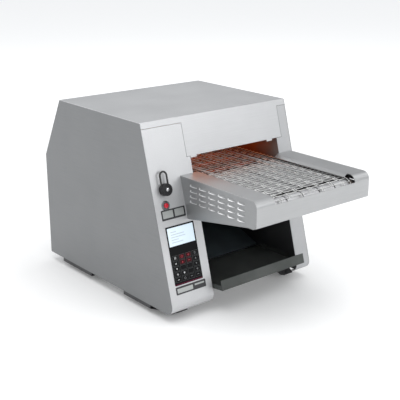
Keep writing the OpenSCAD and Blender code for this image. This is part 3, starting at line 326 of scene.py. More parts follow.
# %% [markdown]
# ## Sheet that lives in the heat
#
# Inside, the same steel has gone brown and grey. Heat tint follows the distance from the tubes, so
# the colour runs from dull grey in front of the face to an orange brown inside. The orange is
# deeper than the tint alone, a painted glow from the tubes, and the colour gets darker downwards,
# painted shade under the belt. Two smooth steps, one on the depth and one on the height, give
# that, and a blotchy noise breaks their edges. The chute, the tray and the brackets are coated
# darker.

# %% Heated and coated sheet
HEAT_FRONT, HEAT_BACK = top_edge_y - 0.02, top_edge_y + 0.07
# heights across which the painted shade below gives way to the tint and painted glow above
TINT_AND_SHADE_LOW, TINT_AND_SHADE_HIGH = 0.22, 0.32


def heat_tint_and_painted_light_steel():
    """Dulled sheet, tinted where the heating tubes are close, with painted glow in its orange and
    painted shade lower down.
    """
    finish = Finish("heat_tint_and_painted_light_steel", (0.3, 0.3, 0.3), 0.5, metallic=0.7)
    blotch = finish.noise(finish.place(), 28.0, detail=4.0, rough=0.6)
    depth = finish.clamped(finish.axis("Y") + (blotch - 0.5) * 0.05, HEAT_FRONT, HEAT_BACK)
    height = finish.clamped(finish.axis("Z") + (blotch - 0.5) * 0.03, TINT_AND_SHADE_LOW, TINT_AND_SHADE_HIGH)
    # painted shade and painted glow: near black low down, an orange deeper than heat tint higher up
    heat_tint_glow_and_shade = finish.mix((0.05, 0.05, 0.055), (0.66, 0.24, 0.09), height)
    plain_and_painted_shade = finish.mix((0.10, 0.10, 0.105), (0.40, 0.40, 0.405), height)
    tone = finish.mix(plain_and_painted_shade, heat_tint_glow_and_shade, depth)
    return finish.complete(tone, 0.36 + blotch * 0.25, blotch, 0.1, 0.0004)


def coated_sheet(name, dark, light, gloss):
    """Sheet under a dark baked coat, with a fine orange-peel skin."""
    finish = Finish(name, light, gloss, metallic=0.35)
    cloud = finish.noise(finish.place(), 18.0, detail=4.0)
    peel = finish.noise(finish.place(), 900.0, detail=1.0)
    tone = finish.mix(dark, light, finish.clamped(cloud, 0.3, 0.7))
    return finish.complete(tone, gloss + (cloud - 0.5) * 0.2, peel, 0.08, 0.0002)


heat_tint_and_painted_light = heat_tint_and_painted_light_steel()
chute_coat = coated_sheet("chute_coat", (0.062, 0.078, 0.086), (0.084, 0.106, 0.118), 0.34)
tray_coat = coated_sheet("tray_coat", (0.060, 0.066, 0.062), (0.095, 0.103, 0.098), 0.42)
bracket_coat = coated_sheet("bracket_coat", (0.03, 0.03, 0.032), (0.06, 0.06, 0.064), 0.42)
print("heated and coated sheet")

# %% [markdown]
# ## Bright metal and belt wire
#
# Screws and stems are plated and nearly mirrors, the button's ring is darker. The belt wire is
# plain stainless that runs through the oven all day, so its tone wanders and its crests are
# polished by the bread. Both start from one function with two tones and a gloss.

# %% Plated metal and wire
def plated(name, dark, light, gloss, patch=40.0):
    """Bright metal whose tone and gloss wander a little."""
    finish = Finish(name, light, gloss, metallic=1.0)
    wander = finish.noise(finish.place(), patch, detail=3.0)
    fine = finish.noise(finish.place(), patch * 30, detail=1.0)
    tone = finish.mix(dark, light, finish.clamped(wander, 0.3, 0.7))
    return finish.complete(tone, gloss + wander * 0.12, fine, 0.05, 0.0001)


chrome = plated("chrome", (0.58, 0.58, 0.60), (0.80, 0.80, 0.81), 0.10)
belt_wire = plated("belt_wire", (0.74, 0.74, 0.73), (0.86, 0.86, 0.85), 0.34, patch=22.0)
turned_steel = plated("turned_steel", (0.32, 0.32, 0.33), (0.48, 0.48, 0.49), 0.30)
roller_steel = plated("roller_steel", (0.50, 0.50, 0.51), (0.60, 0.60, 0.61), 0.42, patch=30.0)
ring_metal = plated("ring_metal", (0.16, 0.16, 0.17), (0.30, 0.30, 0.31), 0.22)
bush_bronze = plated("bush_bronze", (0.30, 0.17, 0.07), (0.50, 0.30, 0.13), 0.32)
print("plated metal and wire")

# %% [markdown]
# ## Plastics, rubber and ceramic
#
# Moulded plastic shows the fine spark-eroded skin of its mould. Rubber is the same but duller, with
# grey dust on it. Ceramic is glazed and slightly uneven. In a picture this small the three differ
# only in colour and gloss, so one function makes them all.

# %% Moulded finishes
SKIN_SCALE, SKIN_DEPTH = 1400.0, 0.00015


def moulded(name, dark, light, gloss, **constants):
    """A moulded surface: two tones, a fine skin and slight wear in its gloss."""
    finish = Finish(name, light, gloss, **constants)
    cloud = finish.noise(finish.place(), 30.0, detail=3.0)
    skin = finish.noise(finish.place(), SKIN_SCALE)
    tone = finish.mix(dark, light, finish.clamped(cloud, 0.3, 0.7))
    return finish.complete(tone, gloss + (cloud - 0.5) * 0.14, skin, 0.18, SKIN_DEPTH)


black_plastic = moulded("black_plastic", (0.008, 0.008, 0.009), (0.018, 0.018, 0.020), 0.32,
                        Specular_IOR_Level=0.3)
black_rubber = moulded("black_rubber", (0.014, 0.014, 0.014), (0.035, 0.034, 0.033), 0.62)
white_ceramic = moulded("white_ceramic", (0.60, 0.57, 0.50), (0.78, 0.75, 0.68), 0.30)
circuit_board = moulded("circuit_board", (0.01, 0.07, 0.03), (0.02, 0.13, 0.06), 0.35)
motor_paint = moulded("motor_paint", (0.05, 0.055, 0.062), (0.10, 0.11, 0.12), 0.40)
red_plastic = moulded("red_plastic", (0.50, 0.008, 0.025), (0.64, 0.015, 0.04), 0.18,
                      Coat_Weight=0.3)
print("moulded finishes")

# %% [markdown]
# The floor is white paper. A little light of its own, which grows some way off, keeps the far
# floor white without lifting much the part that the sides of the machine reflect.

# %% Paper floor
GLOW_FROM, GLOW_TO = 1.1, 2.8


def paper_floor():
    """Matt white paper that glows faintly, and more so away from the object."""
    finish = Finish("studio_floor", (0.92, 0.92, 0.92), 0.7, Emission_Strength=0.46)
    around = finish.place(scale=(1, 1, 0))
    distance = finish.node("ShaderNodeVectorMath", {"operation": "LENGTH"}, {0: around}, 1)
    far = finish.clamped(distance, GLOW_FROM, GLOW_TO)
    fibre = finish.noise(finish.place(), 60.0)
    finish.set("Emission Color", finish.mix((0.26, 0.26, 0.26), (0.98, 0.99, 1.0), far))
    tone = finish.mix((0.90, 0.90, 0.90), (0.93, 0.93, 0.93), fibre)
    return finish.complete(tone, 0.7, fibre, 0.1, 0.0002)


floor.data.materials.append(paper_floor())
print("floor", round(floor.dimensions.x), "m wide")

# %% [markdown]
# ## Heating tubes
#
# The upper tubes are on in the photograph: the gap above the belt glows orange. The lower ones only
# keep warm. A tube is hottest in its middle and dark at its two ends, which carry no winding. The
# emission colour is therefore mixed from black to orange by the distance from the ends.

# %% Glowing tubes
COLD_END = 0.03


def glowing_tube(name, hot, strength):
    """A heating tube that glows between its cold ends."""
    low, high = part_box("upper_heaters")
    sheath = (0.18, 0.10, 0.07)
    finish = Finish(name, sheath, 0.5, Emission_Strength=strength)
    across = finish.axis("X")
    glow = (finish.clamped(across, low.x + COLD_END, low.x + 3 * COLD_END)
            * (1 - finish.clamped(across, high.x - 3 * COLD_END, high.x - COLD_END)))
    speckle = finish.noise(finish.place(), 160.0, detail=3.0)
    finish.set("Emission Color", finish.mix((0.0, 0.0, 0.0), hot, glow * (0.8 + speckle * 0.4)))
    return finish.complete((*sheath, 1), 0.45 + speckle * 0.2, speckle, 0.15, 0.0003)


upper_glow = glowing_tube("upper_glow", (1.0, 0.30, 0.08), 1.6)
lower_glow = glowing_tube("lower_glow", (1.0, 0.12, 0.02), 0.15)
print("glowing tubes")

# %% [markdown]
# ## Working as by hand
#
# Every operator in Blender acts on what is selected, so each piece starts by selecting nothing
# else. Faces are then chosen by where they are or which way they point, just as one would click
# them. A finished piece is dressed: it gets its material, rides on a body, and hides the CAD nodes
# that it stands for. The record already says which body each node has.

# %% Selecting and dressing
BODIES = {node: body for body, nodes in frame["record"]["behaviour"]["bodies"].items()
          for node in nodes}
TINY = 0.01 * MM    # smaller than any real feature


def only(piece):
    """Leaves object mode's selection with one object, and makes it active."""
    deselect()
    piece.select_set(True)
    bpy.context.view_layer.objects.active = piece
    return piece


def named(name):
    """Names the object that an operator has just added."""
    piece = bpy.context.object
    piece.name = piece.data.name = name
    return only(piece)


def edit_faces(piece, chosen):
    """Enters edit mode with the faces selected whose middle and normal pass a test."""
    only(piece)
    for part in (*piece.data.vertices, *piece.data.edges):
        part.select = False
    for face in piece.data.polygons:
        face.select = chosen(face.center, face.normal)
    bpy.ops.object.mode_set(mode="EDIT")
    bpy.ops.mesh.select_mode(type="FACE")


def done():
    bpy.ops.object.mode_set(mode="OBJECT")


def select_mesh():
    bpy.ops.mesh.select_all(action="SELECT")


def extrude(by):
    bpy.ops.mesh.extrude_region_move(TRANSFORM_OT_translate={"value": by})


def lifted_rings(steps):
    """Insets the selected faces step by step, and lifts each new ring, in millimetres."""
    for inset, lift in steps:
        bpy.ops.mesh.inset(thickness=inset * MM)
        bpy.ops.transform.translate(value=(0, 0, lift * MM))


def points_up(middle, normal):
    return normal.z > 0.9


def upright_cylinder(name, corners, radius, depth, middle_z):
    """A cylinder round the Z axis."""
    deselect()
    bpy.ops.mesh.primitive_cylinder_add(vertices=corners, radius=radius, depth=depth,
                                        location=(0, 0, middle_z))
    piece = named(name)
    bpy.ops.object.transform_apply(location=True)
    return piece


def own_copy(piece):
    """A copy of a piece that has its own mesh."""
    twin = piece.copy()
    twin.data = piece.data.copy()
    bpy.context.scene.collection.objects.link(twin)
    return twin


def welded_sheet(node):
    """A copy of a CAD sheet with its loose triangles merged, left in edit mode."""
    sheet = bpy.data.objects.new(node + "_sheet", frame["nodes"][node].data.copy())
    bpy.context.scene.collection.objects.link(sheet)
    only(sheet)
    bpy.ops.object.mode_set(mode="EDIT")
    select_mesh()
    bpy.ops.mesh.remove_doubles(threshold=TINY)
    return sheet


def join(first, pieces):
    """Joins pieces to the first one."""
    only(first)
    for piece in pieces:
        piece.select_set(True)
    bpy.ops.object.join()


def set_down(piece, matrix):
    """Puts a piece that was modelled at the origin in its place, and applies it."""
    only(piece)
    piece.matrix_world = matrix
    bpy.ops.object.transform_apply(location=True, rotation=True, scale=True)
    return piece


def smooth_shaded(piece, angle):
    """Smooths what turns by less than an angle, and lets wide faces keep their own normal."""
    only(piece)
    bpy.ops.object.shade_smooth_by_angle(angle=math.radians(angle))
    normals = piece.modifiers.new("normals", "WEIGHTED_NORMAL")
    normals.weight, normals.keep_sharp = 100, True
    bpy.ops.object.modifier_apply(modifier=normals.name)
    return piece


def round_edges(piece, width, segments=2, angle=30, smooth=38):
    """Bevels the edges that turn by more than an angle, and smooths what is nearly flat."""
    only(piece)
    edges = piece.modifiers.new("edges", "BEVEL")
    edges.width, edges.segments = width, segments
    edges.limit_method, edges.angle_limit = "ANGLE", math.radians(angle)
    bpy.ops.object.modifier_apply(modifier=edges.name)
    return smooth_shaded(piece, smooth)


def coat(piece, material):
    """Leaves a piece with one finish."""
    piece.data.materials.clear()
    piece.data.materials.append(material)


def mount(piece, like, *stands_for):
    """Gives a piece the body of the node that it is like, and hides what it stands for."""
    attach(piece, BODIES[like])
    if stands_for:
        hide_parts(*stands_for)
    return piece


def dress(piece, material, like, *stands_for):
    coat(piece, material)
    return mount(piece, like, *stands_for)


# %% [markdown]
# ## Softened sheet edges
#
# A real sheet has no sharp edge: the fold has a small radius and the cut edge is dressed. That
# radius is what draws the thin bright line along the left side in the photograph. The CAD sheets
# arrive as loose triangles, so a copy is merged, its flat faces are dissolved into one again, and a
# bevel modifier rounds whatever still turns sharply.

# %% Soften the cabinet's sheets
FLAT_ANGLE = 0.4


def softened(node, material, width):
    """A copy of a CAD sheet with its edges rounded, which stands for the node."""
    piece = welded_sheet(node)
    bpy.ops.mesh.dissolve_limited(angle_limit=math.radians(FLAT_ANGLE))
    done()
    round_edges(piece, width)
    return dress(piece, material, node, node)


SHEETS = {
    "top_cover": (steel_across, 0.55), "left_side_panel": (side_steel_painted_shade, 0.25),
    "right_side_panel": (side_steel_painted_shade, 0.25), "rear_panel": (steel_across, 0.4),
    "left_column_cover": (steel_upright, 0.4), "right_column_cover": (right_steel_painted_shade, 0.4),
    "conveyor_shroud": (shroud_steel_painted_shade, 0.45), "conveyor_underpan": (steel_across, 0.4),
    "toast_tray": (tray_coat, 0.5), "base_pan": (steel_across, 0.4),
}
for node, (material, width) in SHEETS.items():
    sheet = softened(node, material, width * MM)
    print(node, len(sheet.data.polygons), "faces")

# %% [markdown]
# ## The wire belt
#
# The belt is a flat flex belt. Each strand is one round wire across the belt, bent forward at even
# steps into narrow loops that ride over the next strand and drop in front of it. That is how the
# strands pull each other round, and how the teeth of the wheels find them. All strands are placed
# by their distance along the belt's middle line, so that line comes first: two straight runs and
# two half turns, read from the box of the CAD belt.

# %% Read the belt's path
belt_low, belt_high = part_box("conveyor_belt")
WIRE = 2.0 * MM
BELT_R = (belt_high.z - belt_low.z) / 2
LINE_R = BELT_R - WIRE / 2
MID_Z = (belt_high.z + belt_low.z) / 2
NOSE_Y, TAIL_Y = belt_low.y + BELT_R, belt_high.y - BELT_R
RUN = TAIL_Y - NOSE_Y
LOOP = 2 * RUN + 2 * math.pi * LINE_R
STRAND_PITCH = 12 * MM
STRANDS = round(LOOP / STRAND_PITCH)
STEP = LOOP / STRANDS


def belt_point(s):
    """The point of the belt's middle line that lies s along it, as depth and height."""
    s %= LOOP
    turn = math.pi * LINE_R
    if s < RUN:
        return Vector((NOSE_Y + s, MID_Z + LINE_R))
    if s < RUN + turn:
        angle = (s - RUN) / LINE_R
        return Vector((TAIL_Y + LINE_R * math.sin(angle), MID_Z + LINE_R * math.cos(angle)))
    if s < 2 * RUN + turn:
        return Vector((TAIL_Y - (s - RUN - turn), MID_Z - LINE_R))
    angle = (s - 2 * RUN - turn) / LINE_R
    return Vector((NOSE_Y - LINE_R * math.sin(angle), MID_Z - LINE_R * math.cos(angle)))


def on_belt(s, rise):
    """The point s along the belt that stands a rise outside its middle line."""
    here, ahead = belt_point(s), belt_point(s + TINY)
    along = (ahead - here).normalized()
    return here + rise * Vector((-along.y, along.x))


def is_straight(s):
    """Whether the belt keeps its direction between s and the strand after the next."""
    return (belt_point(s) - belt_point(s + STEP)).length > (1 - 1e-6) * STEP and (
        belt_point(s + STEP) - belt_point(s + 1.5 * STEP)).length > (0.5 - 1e-6) * STEP


print(STRANDS, "strands,", round(STEP / MM, 2), "mm apart")

# %% [markdown]
# ## Bending a strand
#
# A chain of vertices shows the strand as its wire is really bent: each bend is a point, extruded
# on to the next. Turned into a curve with a round bevel it becomes wire, and then a mesh again. A
# loop is a row of points, each with its distance ahead of the strand and its rise. Round a shaft
# it needs more of them. Neighbouring strands have their loops half a pitch apart.

# %% Bend one strand
LOOP_PITCH, LOOP_W = 62 * MM, 6.5 * MM
BELT_W = belt_high.x - belt_low.x
STARTS = (LOOP_PITCH * 0.4, LOOP_PITCH * 0.9)
FLAT_LOOP = ((0, 0), (STEP - 1.3 * WIRE, 0.1 * WIRE), (STEP, 1.05 * WIRE),
             (STEP + 1.1 * WIRE, 0))
ROUND_LOOP = ((0, 0), (0.25 * STEP, 0.05 * WIRE), (0.5 * STEP, 0.15 * WIRE),
              (0.75 * STEP, 0.4 * WIRE), (STEP, 0.7 * WIRE), (STEP + 1.1 * WIRE, 0))


def strand_bends(s, first, loop=FLAT_LOOP):
    """The bends of the strand at s, from its left end to its right."""
    forward = [on_belt(s + y, z) for y, z in loop]
    back = forward[::-1]
    bends = [(0.0, point) for point in back]
    x = first
    while x + LOOP_W < BELT_W - 2 * LOOP_W:
        bends += [(x, point) for point in forward] + [(x + LOOP_W, point) for point in back]
        x += LOOP_PITCH
    bends += [(BELT_W - WIRE, point) for point in forward]
    return [Vector((belt_low.x + x, *point)) for x, point in bends]


def vertex_chain(name, bends):
    """One row of edges through the bends, left in edit mode with all of it selected."""
    deselect()
    bpy.ops.mesh.primitive_plane_add(size=1 * MM)
    chain = named(name)
    bpy.ops.object.mode_set(mode="EDIT")
    bpy.ops.mesh.select_mode(type="VERT")
    select_mesh()
    bpy.ops.mesh.merge(type="CENTER")
    bpy.ops.transform.translate(value=bends[0])
    for start, end in zip(bends, bends[1:]):
        bpy.ops.mesh.extrude_vertices_move(TRANSFORM_OT_translate={"value": end - start})
    select_mesh()
    return chain


def bent_wire(name, bends):
    """A round wire through the bends, as a mesh."""
    wire = vertex_chain(name, bends)
    done()
    bpy.ops.object.convert(target="CURVE")
    wire.data.bevel_depth = WIRE / 2
    wire.data.bevel_resolution = 1
    wire.data.use_fill_caps = True
    bpy.ops.object.convert(target="MESH")
    return wire


patterns = [bent_wire(f"strand_{index}", strand_bends(index * STEP, STARTS[index]))
            for index in (0, 1)]
print("one strand has", len(patterns[0].data.polygons), "faces")

# %% [markdown]
# Along the two straight runs each strand is a copy of one of the two wires, moved along or turned
# over. Round the shafts the loops have to follow the drum, so those few strands are bent one by
# one.

# %% Run the strands round both shafts
strands = []
for index in range(STRANDS):
    s = index * STEP
    if not is_straight(s):
        bends = strand_bends(s, STARTS[index % 2], ROUND_LOOP)
        strands.append(bent_wire(f"turning_{index}", bends))
        continue
    pattern, start = patterns[index % 2], belt_point(index % 2 * STEP)
    here = belt_point(s)
    over = Matrix.Rotation(math.pi if here.y < MID_Z else 0.0, 4, "X")
    strand = own_copy(pattern)
    strand.data.transform(Matrix.Translation((0, here.x, here.y)) @ over
                          @ Matrix.Translation((0, -start.x, -start.y)))
    strands.append(strand)
join(strands[0], strands)
belt = named("wire_belt")
for pattern in patterns:
    bpy.data.objects.remove(pattern)
bpy.ops.object.shade_smooth_by_angle(angle=math.radians(50))
dress(belt, belt_wire, "conveyor_belt", "conveyor_belt")
print("belt:", len(belt.data.polygons), "faces")

# %% [markdown]
# ## Pressed louvres
#
# A louvre is a slit whose upper side is pressed out into a hood. Its lip is drawn as half an
# ellipse, one vertex after another. The lip is then extruded upwards row by row, and each row is
# squeezed back towards the plate, so that the hood flares like a skirt. The flare looks up at the
# sky and its left end at the bright face of the cabinet, which gives the bright hook that each
# louvre has in the photograph. The lip and that end are also given a lighter steel, a painted
# highlight that strengthens the hook.

# %% One hood
LOUVRE_L, LOUVRE_OUT, LIP_STEPS = 23 * MM, 2.9 * MM, 16
FLARE = ((1.3, 0.66), (1.3, 0.60), (1.4, 0.52), (1.5, 0.40), (1.5, 0.05))    # rise, share kept
FLARE_NARROWS, HOOD_WALL = 0.97, 0.7 * MM
# how far the painted highlight reaches up from the lip, and up at the left end
PAINTED_HIGHLIGHT_LIP, PAINTED_HIGHLIGHT_END = 1.5 * MM, 4 * MM


def pressed_hood():
    """A hood that stands out to -X from the plane x = 0, with its lip on z = 0."""
    turns = [math.pi * step / LIP_STEPS for step in range(LIP_STEPS + 1)]
    lip = [Vector((-LOUVRE_OUT * math.sin(turn), -LOUVRE_L / 2 * math.cos(turn), 0))
           for turn in turns]
    hood = vertex_chain("louvre_hood", lip)
    bpy.ops.mesh.select_mode(type="EDGE")
    select_mesh()
    for rise, kept in FLARE:
        bpy.ops.mesh.extrude_edges_move(TRANSFORM_OT_translate={"value": (0, 0, rise * MM)})
        bpy.ops.transform.resize(value=(kept, FLARE_NARROWS, 1), center_override=(0, 0, 0))
    select_mesh()
    bpy.ops.mesh.normals_make_consistent(inside=False)
    done()
    wall = hood.modifiers.new("wall", "SOLIDIFY")
    wall.thickness, wall.offset = HOOD_WALL, -1
    bpy.ops.object.modifier_apply(modifier=wall.name)
    return round_edges(hood, 0.2 * MM, segments=1, angle=60, smooth=60)


hood = pressed_hood()
coat(hood, housing_steel_painted_shade)
# painted highlight: faces near the lip and at the left end take the lighter steel
hood.data.materials.append(painted_highlight_steel)
for face in hood.data.polygons:
    reach = PAINTED_HIGHLIGHT_END if face.center.y > LOUVRE_L / 4 else PAINTED_HIGHLIGHT_LIP
    face.material_index = int(face.center.z < reach)
print("hood", [round(side / MM, 1) for side in hood.dimensions])

# %% [markdown]
# ## The two housing sides
#
# The CAD plates have plain hoods. They come off in edit mode: every face whose middle lies outside
# the plate's plane is deleted, and the plate with its slits is left. A copy of the flared hood is
# then set over each slit. On the right side the copies are mirrored, which turns their faces
# inside out, so their normals are flipped.

# %% Louvred housing sides
LOUVRE_COLS, LOUVRE_ROWS = 6, 4
LOUVRE_PITCH_Y, LOUVRE_PITCH_Z = 29.8 * MM, 11.8 * MM
LOUVRE_FIRST, LOUVRE_TOP, LIP_DROP = 77 * MM, 261 * MM, 0.3 * MM
PRESSED = 2.6 * MM    # how far the CAD hoods stand out of the plate


def louvred_side(node, side):
    """The housing side of a node: its plate, with a pressed hood over each slit."""
    low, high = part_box(node)
    plane = low.x + PRESSED if side < 0 else high.x - PRESSED
    plate = welded_sheet(node)
    done()
    edit_faces(plate, lambda middle, normal: (middle.x - plane) * side > 2 * TINY)
    bpy.ops.mesh.delete(type="FACE")
    done()
    hoods = []
    for col in range(LOUVRE_COLS):
        for row in range(LOUVRE_ROWS):
            copy = own_copy(hood)
            at = (plane, top_edge_y - LOUVRE_FIRST - col * LOUVRE_PITCH_Y,
                  CABINET_FOOT + LOUVRE_TOP - row * LOUVRE_PITCH_Z - LIP_DROP)
            copy.data.transform(Matrix.Translation(at) @ Matrix.Diagonal((-side, 1, 1, 1)))
            if side > 0:
                copy.data.flip_normals()
            hoods.append(copy)
    coat(plate, housing_steel_painted_shade)
    join(plate, hoods)
    smooth_shaded(plate, 38)
    return mount(plate, node, node)


for node, side in (("conveyor_left_side", -1), ("conveyor_right_side", 1)):
    louvred = louvred_side(node, side)
    print(node, len(louvred.data.polygons), "faces")
bpy.data.objects.remove(hood)

# %% [markdown]
# ## Flat plates with round corners
#
# Two blank rating plates lie on the face, each with two grey fields. Each is a plane whose four
# corners are bevelled, pulled up to its thickness and then dressed along its upper edge. They are
# made lying flat and set down on the slope at the end.

# %% A rounded plate
def flat_plate(name, width, length, thick, corner, rise=0.0, at=(0.0, 0.0)):
    """A thin plate around a point of the flat face, with round corners and a dressed edge."""
    deselect()
    bpy.ops.mesh.primitive_plane_add(size=1, location=(*at, rise))
    plate = named(name)
    plate.scale = (width, length, 1)
    bpy.ops.object.transform_apply(location=True, rotation=True, scale=True)
    edit_faces(plate, lambda middle, normal: True)
    bpy.ops.mesh.bevel(offset=corner, segments=5, affect="VERTICES")
    extrude((0, 0, thick))
    select_mesh()
    bpy.ops.mesh.normals_make_consistent(inside=False)
    done()
    bpy.ops.mesh.customdata_custom_splitnormals_clear()
    return round_edges(plate, thick * 0.3, segments=1, angle=60)


def brushed_field(name, tone, gloss):
    """Grey anodised foil with a grain across it."""
    finish = Finish(name, tone, gloss, metallic=0.6)
    grain = finish.noise(finish.place(scale=(60, 2200, 2200)), 1.0)
    colour = finish.mix(tuple(0.8 * c for c in tone), tone, grain)
    return finish.complete(colour, gloss + grain * 0.15, grain, 0.05, 0.0001)


plate_foil = moulded("plate_foil", (0.020, 0.020, 0.022), (0.038, 0.038, 0.042), 0.38)
field_foil = brushed_field("field_foil", (0.50, 0.52, 0.51), 0.4)
PLATE_T, FIELD_T = 0.35 * MM, 0.06 * MM
PLATES = {    # place on the face, size, and each field's place and size, in millimetres
    "upper_plate": ((-163.7, 229.0), (63.4, 22.2),
                    [(-14.8, 0.6, 27.0, 15.4), (15.4, 0.6, 24.5, 15.4)]),
    "lower_plate": ((-151.3, 70.6), (81.4, 16.9),
                    [(-16.0, -0.4, 42.0, 9.6), (23.5, 2.6, 26.0, 3.4)]),
}
for name, ((x, z), (width, length), fields) in PLATES.items():
    there = on_face(x * MM, z * MM)
    plate = flat_plate(name, width * MM, length * MM, PLATE_T, 2 * MM)
    dress(set_down(plate, there), plate_foil, "keypad_sheet")
    for index, (u, v, w, l) in enumerate(fields):
        field = flat_plate(f"{name}_field_{index}", w * MM, l * MM, FIELD_T, 1 * MM,
                           rise=PLATE_T, at=(u * MM, v * MM))
        dress(set_down(field, there), field_foil, "keypad_sheet")
print(len(PLATES), "blank plates")

# %% [markdown]
# ## Keypad
#
# The keypad is one printed foil with domes under it. Its keys are slightly raised in the CAD part.
# What is left is print: a thin outline round each key, four reddish keys, a red line along the
# foot, and a mark on the keys. Outlines are easy in a shader, because they repeat: the coordinates
# are turned onto the face, cut into cells by a fraction node, and a thin band is kept round the
# middle of each cell.

# %% Printed foil
keypad_low, keypad_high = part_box("keypad_sheet")
KEYPAD_X, KEYPAD_Z = (keypad_low.x + keypad_high.x) / 2, keypad_low.z
KEYPAD_AT = on_face(KEYPAD_X, KEYPAD_Z)
KEY_COLS, KEY_ROWS = 4, 5
KEY_PITCH_X, KEY_PITCH_Y, KEYS_UP = 17.8 * MM, 11.8 * MM, 12 * MM
KEY_HALF_X, KEY_HALF_Y = 6.75 * MM, 4.5 * MM


def on_keypad(finish):
    """Coordinates on the keypad: across from its middle, and up the slope from its foot."""
    flat = finish.place(at=tuple(KEYPAD_AT.translation), turned=(-face_angle, 0, 0))
    return [finish.node("ShaderNodeSeparateXYZ", {}, {0: flat}, axis) for axis in "XY"]


def cell_offset(finish, value, pitch, first):
    """Distance from the middle of the nearest of a row of evenly spaced keys."""
    cell = (value - first) * (1 / pitch) + 0.5
    part = finish.node("ShaderNodeMath", {"operation": "FRACT"}, {0: cell})
    return finish.node("ShaderNodeMath", {"operation": "ABSOLUTE"}, {0: (part - 0.5) * pitch})


def printed_foil():
    """Black foil with grey key outlines, four red keys and a red line at its foot."""
    finish = Finish("printed_foil", (0.008, 0.008, 0.009), 0.3, Specular_IOR_Level=0.12)
    across, up = on_keypad(finish)
    side = cell_offset(finish, across, KEY_PITCH_X, KEY_PITCH_X / 2) - KEY_HALF_X
    rise = cell_offset(finish, up, KEY_PITCH_Y, KEYS_UP) - KEY_HALF_Y
    edge = finish.node("ShaderNodeMath", {"operation": "MAXIMUM"}, {0: side, 1: rise})
    band = (edge > 0.1 * MM) * (edge < 0.7 * MM)
    rows = (up > KEYS_UP - KEY_PITCH_Y / 2) * (up < KEYS_UP + (KEY_ROWS - 0.5) * KEY_PITCH_Y)
    line = (up > 0.6 * MM) * (up < 3.2 * MM)
    skin = finish.noise(finish.place(), 1200.0)
    middle = (across > -KEY_PITCH_X) * (across < KEY_PITCH_X)
    red_keys = (up > KEYS_UP + 2.5 * KEY_PITCH_Y) * middle * rows * (edge < 0)
    ground = finish.mix((0.004, 0.004, 0.005), (0.055, 0.006, 0.010), red_keys)
    keys = finish.mix(ground, (0.085, 0.090, 0.090), band * rows)
    colour = finish.mix(keys, (0.085, 0.004, 0.022), line)
    return finish.complete(colour, 0.26 + skin * 0.14, skin, 0.12, 0.0001)


softened("keypad_sheet", printed_foil(), 0.12 * MM)
print("keypad", round((keypad_high.x - keypad_low.x) / MM, 1), "mm wide")

# %% [markdown]
# Each key's mark is a thin layer of ink. Ink has an edge that the light finds, so the marks are
# modelled: bars, triangles, dots and rings, flattened to a few hundredths of a millimetre and
# joined by colour. They say nothing.

# %% Marks on the keys
INK, KEY_TOP, RING_WIRE = 0.04 * MM, 1.3 * MM, 0.4 * MM
MARKS = {    # the ink's two tones, and the kind, column and row of each mark
    "white": ((0.50, 0.51, 0.52), (0.66, 0.67, 0.68),
              ["bars 0 4", "up 0 3", "down 0 2", "plus 0 1", "minus 0 0", "dot 1 1"]),
    "grey": ((0.14, 0.145, 0.15), (0.20, 0.205, 0.21),
             ["ring 1 0", "minus 2 0", "bars 3 4", "up 3 3", "down 3 2", "plus 3 1", "minus 3 0"]),
    "red": ((0.30, 0.012, 0.02), (0.42, 0.02, 0.03),
            ["ring 1 4", "plus 2 4", "up 1 3", "minus 2 3"]),
}


def ink_bar(x, y, width, length):
    bpy.ops.mesh.primitive_cube_add(size=1, location=(x, y, 0), scale=(width, length, 1))
    return [bpy.context.object]


def ink_disc(x, y, radius, corners, turn=0.0):
    bpy.ops.mesh.primitive_cylinder_add(vertices=corners, radius=radius, depth=1,
                                        location=(x, y, 0), rotation=(0, 0, turn))
    return [bpy.context.object]


def ink_ring(x, y, radius):
    bpy.ops.mesh.primitive_torus_add(major_radius=radius, minor_radius=RING_WIRE,
                                     major_segments=20, minor_segments=6, location=(x, y, 0))
    bpy.context.object.scale.z = 1 / (2 * RING_WIRE)
    return [bpy.context.object]


def key_mark(kind, x, y):
    """The pieces of one mark round a key's middle."""
    if kind == "up":
        return ink_disc(x, y - 0.4 * MM, 2.6 * MM, 3)
    if kind == "down":
        return ink_disc(x, y + 0.4 * MM, 2.6 * MM, 3, math.pi)
    if kind == "dot":
        return ink_disc(x, y, 2.0 * MM, 20)
    if kind == "ring":
        return ink_ring(x, y, 2.2 * MM)
    if kind == "minus":
        return ink_bar(x, y, 5 * MM, 1.2 * MM)
    if kind == "plus":
        return ink_bar(x, y, 5 * MM, 1.2 * MM) + ink_bar(x, y, 1.2 * MM, 5 * MM)
    return [bar for step in (-1, 0, 1)
            for bar in ink_bar(x, y + step * 1.9 * MM, 5 * MM, 0.8 * MM)]


for colour, (dark, light, lines) in MARKS.items():
    deselect()
    pieces = []
    for line in lines:
        kind, col, row = line.split()
        x = (int(col) - (KEY_COLS - 1) / 2) * KEY_PITCH_X
        pieces += key_mark(kind, x, KEYS_UP + int(row) * KEY_PITCH_Y)
    for piece in pieces:
        only(piece)
        bpy.ops.object.transform_apply(location=True, rotation=True, scale=True)
    join(pieces[-1], pieces)
    marks = named(f"key_marks_{colour}")
    lift = Matrix.Translation((0, 0, KEY_TOP + INK / 2)) @ Matrix.Diagonal((1, 1, INK, 1))
    ink = moulded(f"ink_{colour}", dark, light, 0.42)
    dress(set_down(marks, KEYPAD_AT @ lift), ink, "keypad_sheet")
    print(len(lines), colour, "marks")

# %% [markdown]
# ## Screen
#
# The screen is a pale lit panel under a clear window, which a clear coat stands for. Its picture is
# generic: a few soft grey bars on a pale ground. The panel gives off a little light, which keeps it
# bright when the face around it is in shade.

# %% Lit screen
ROW_PITCH, FIRST_ROW, BAR_ROWS = 5.6 * MM, 89 * MM, 5


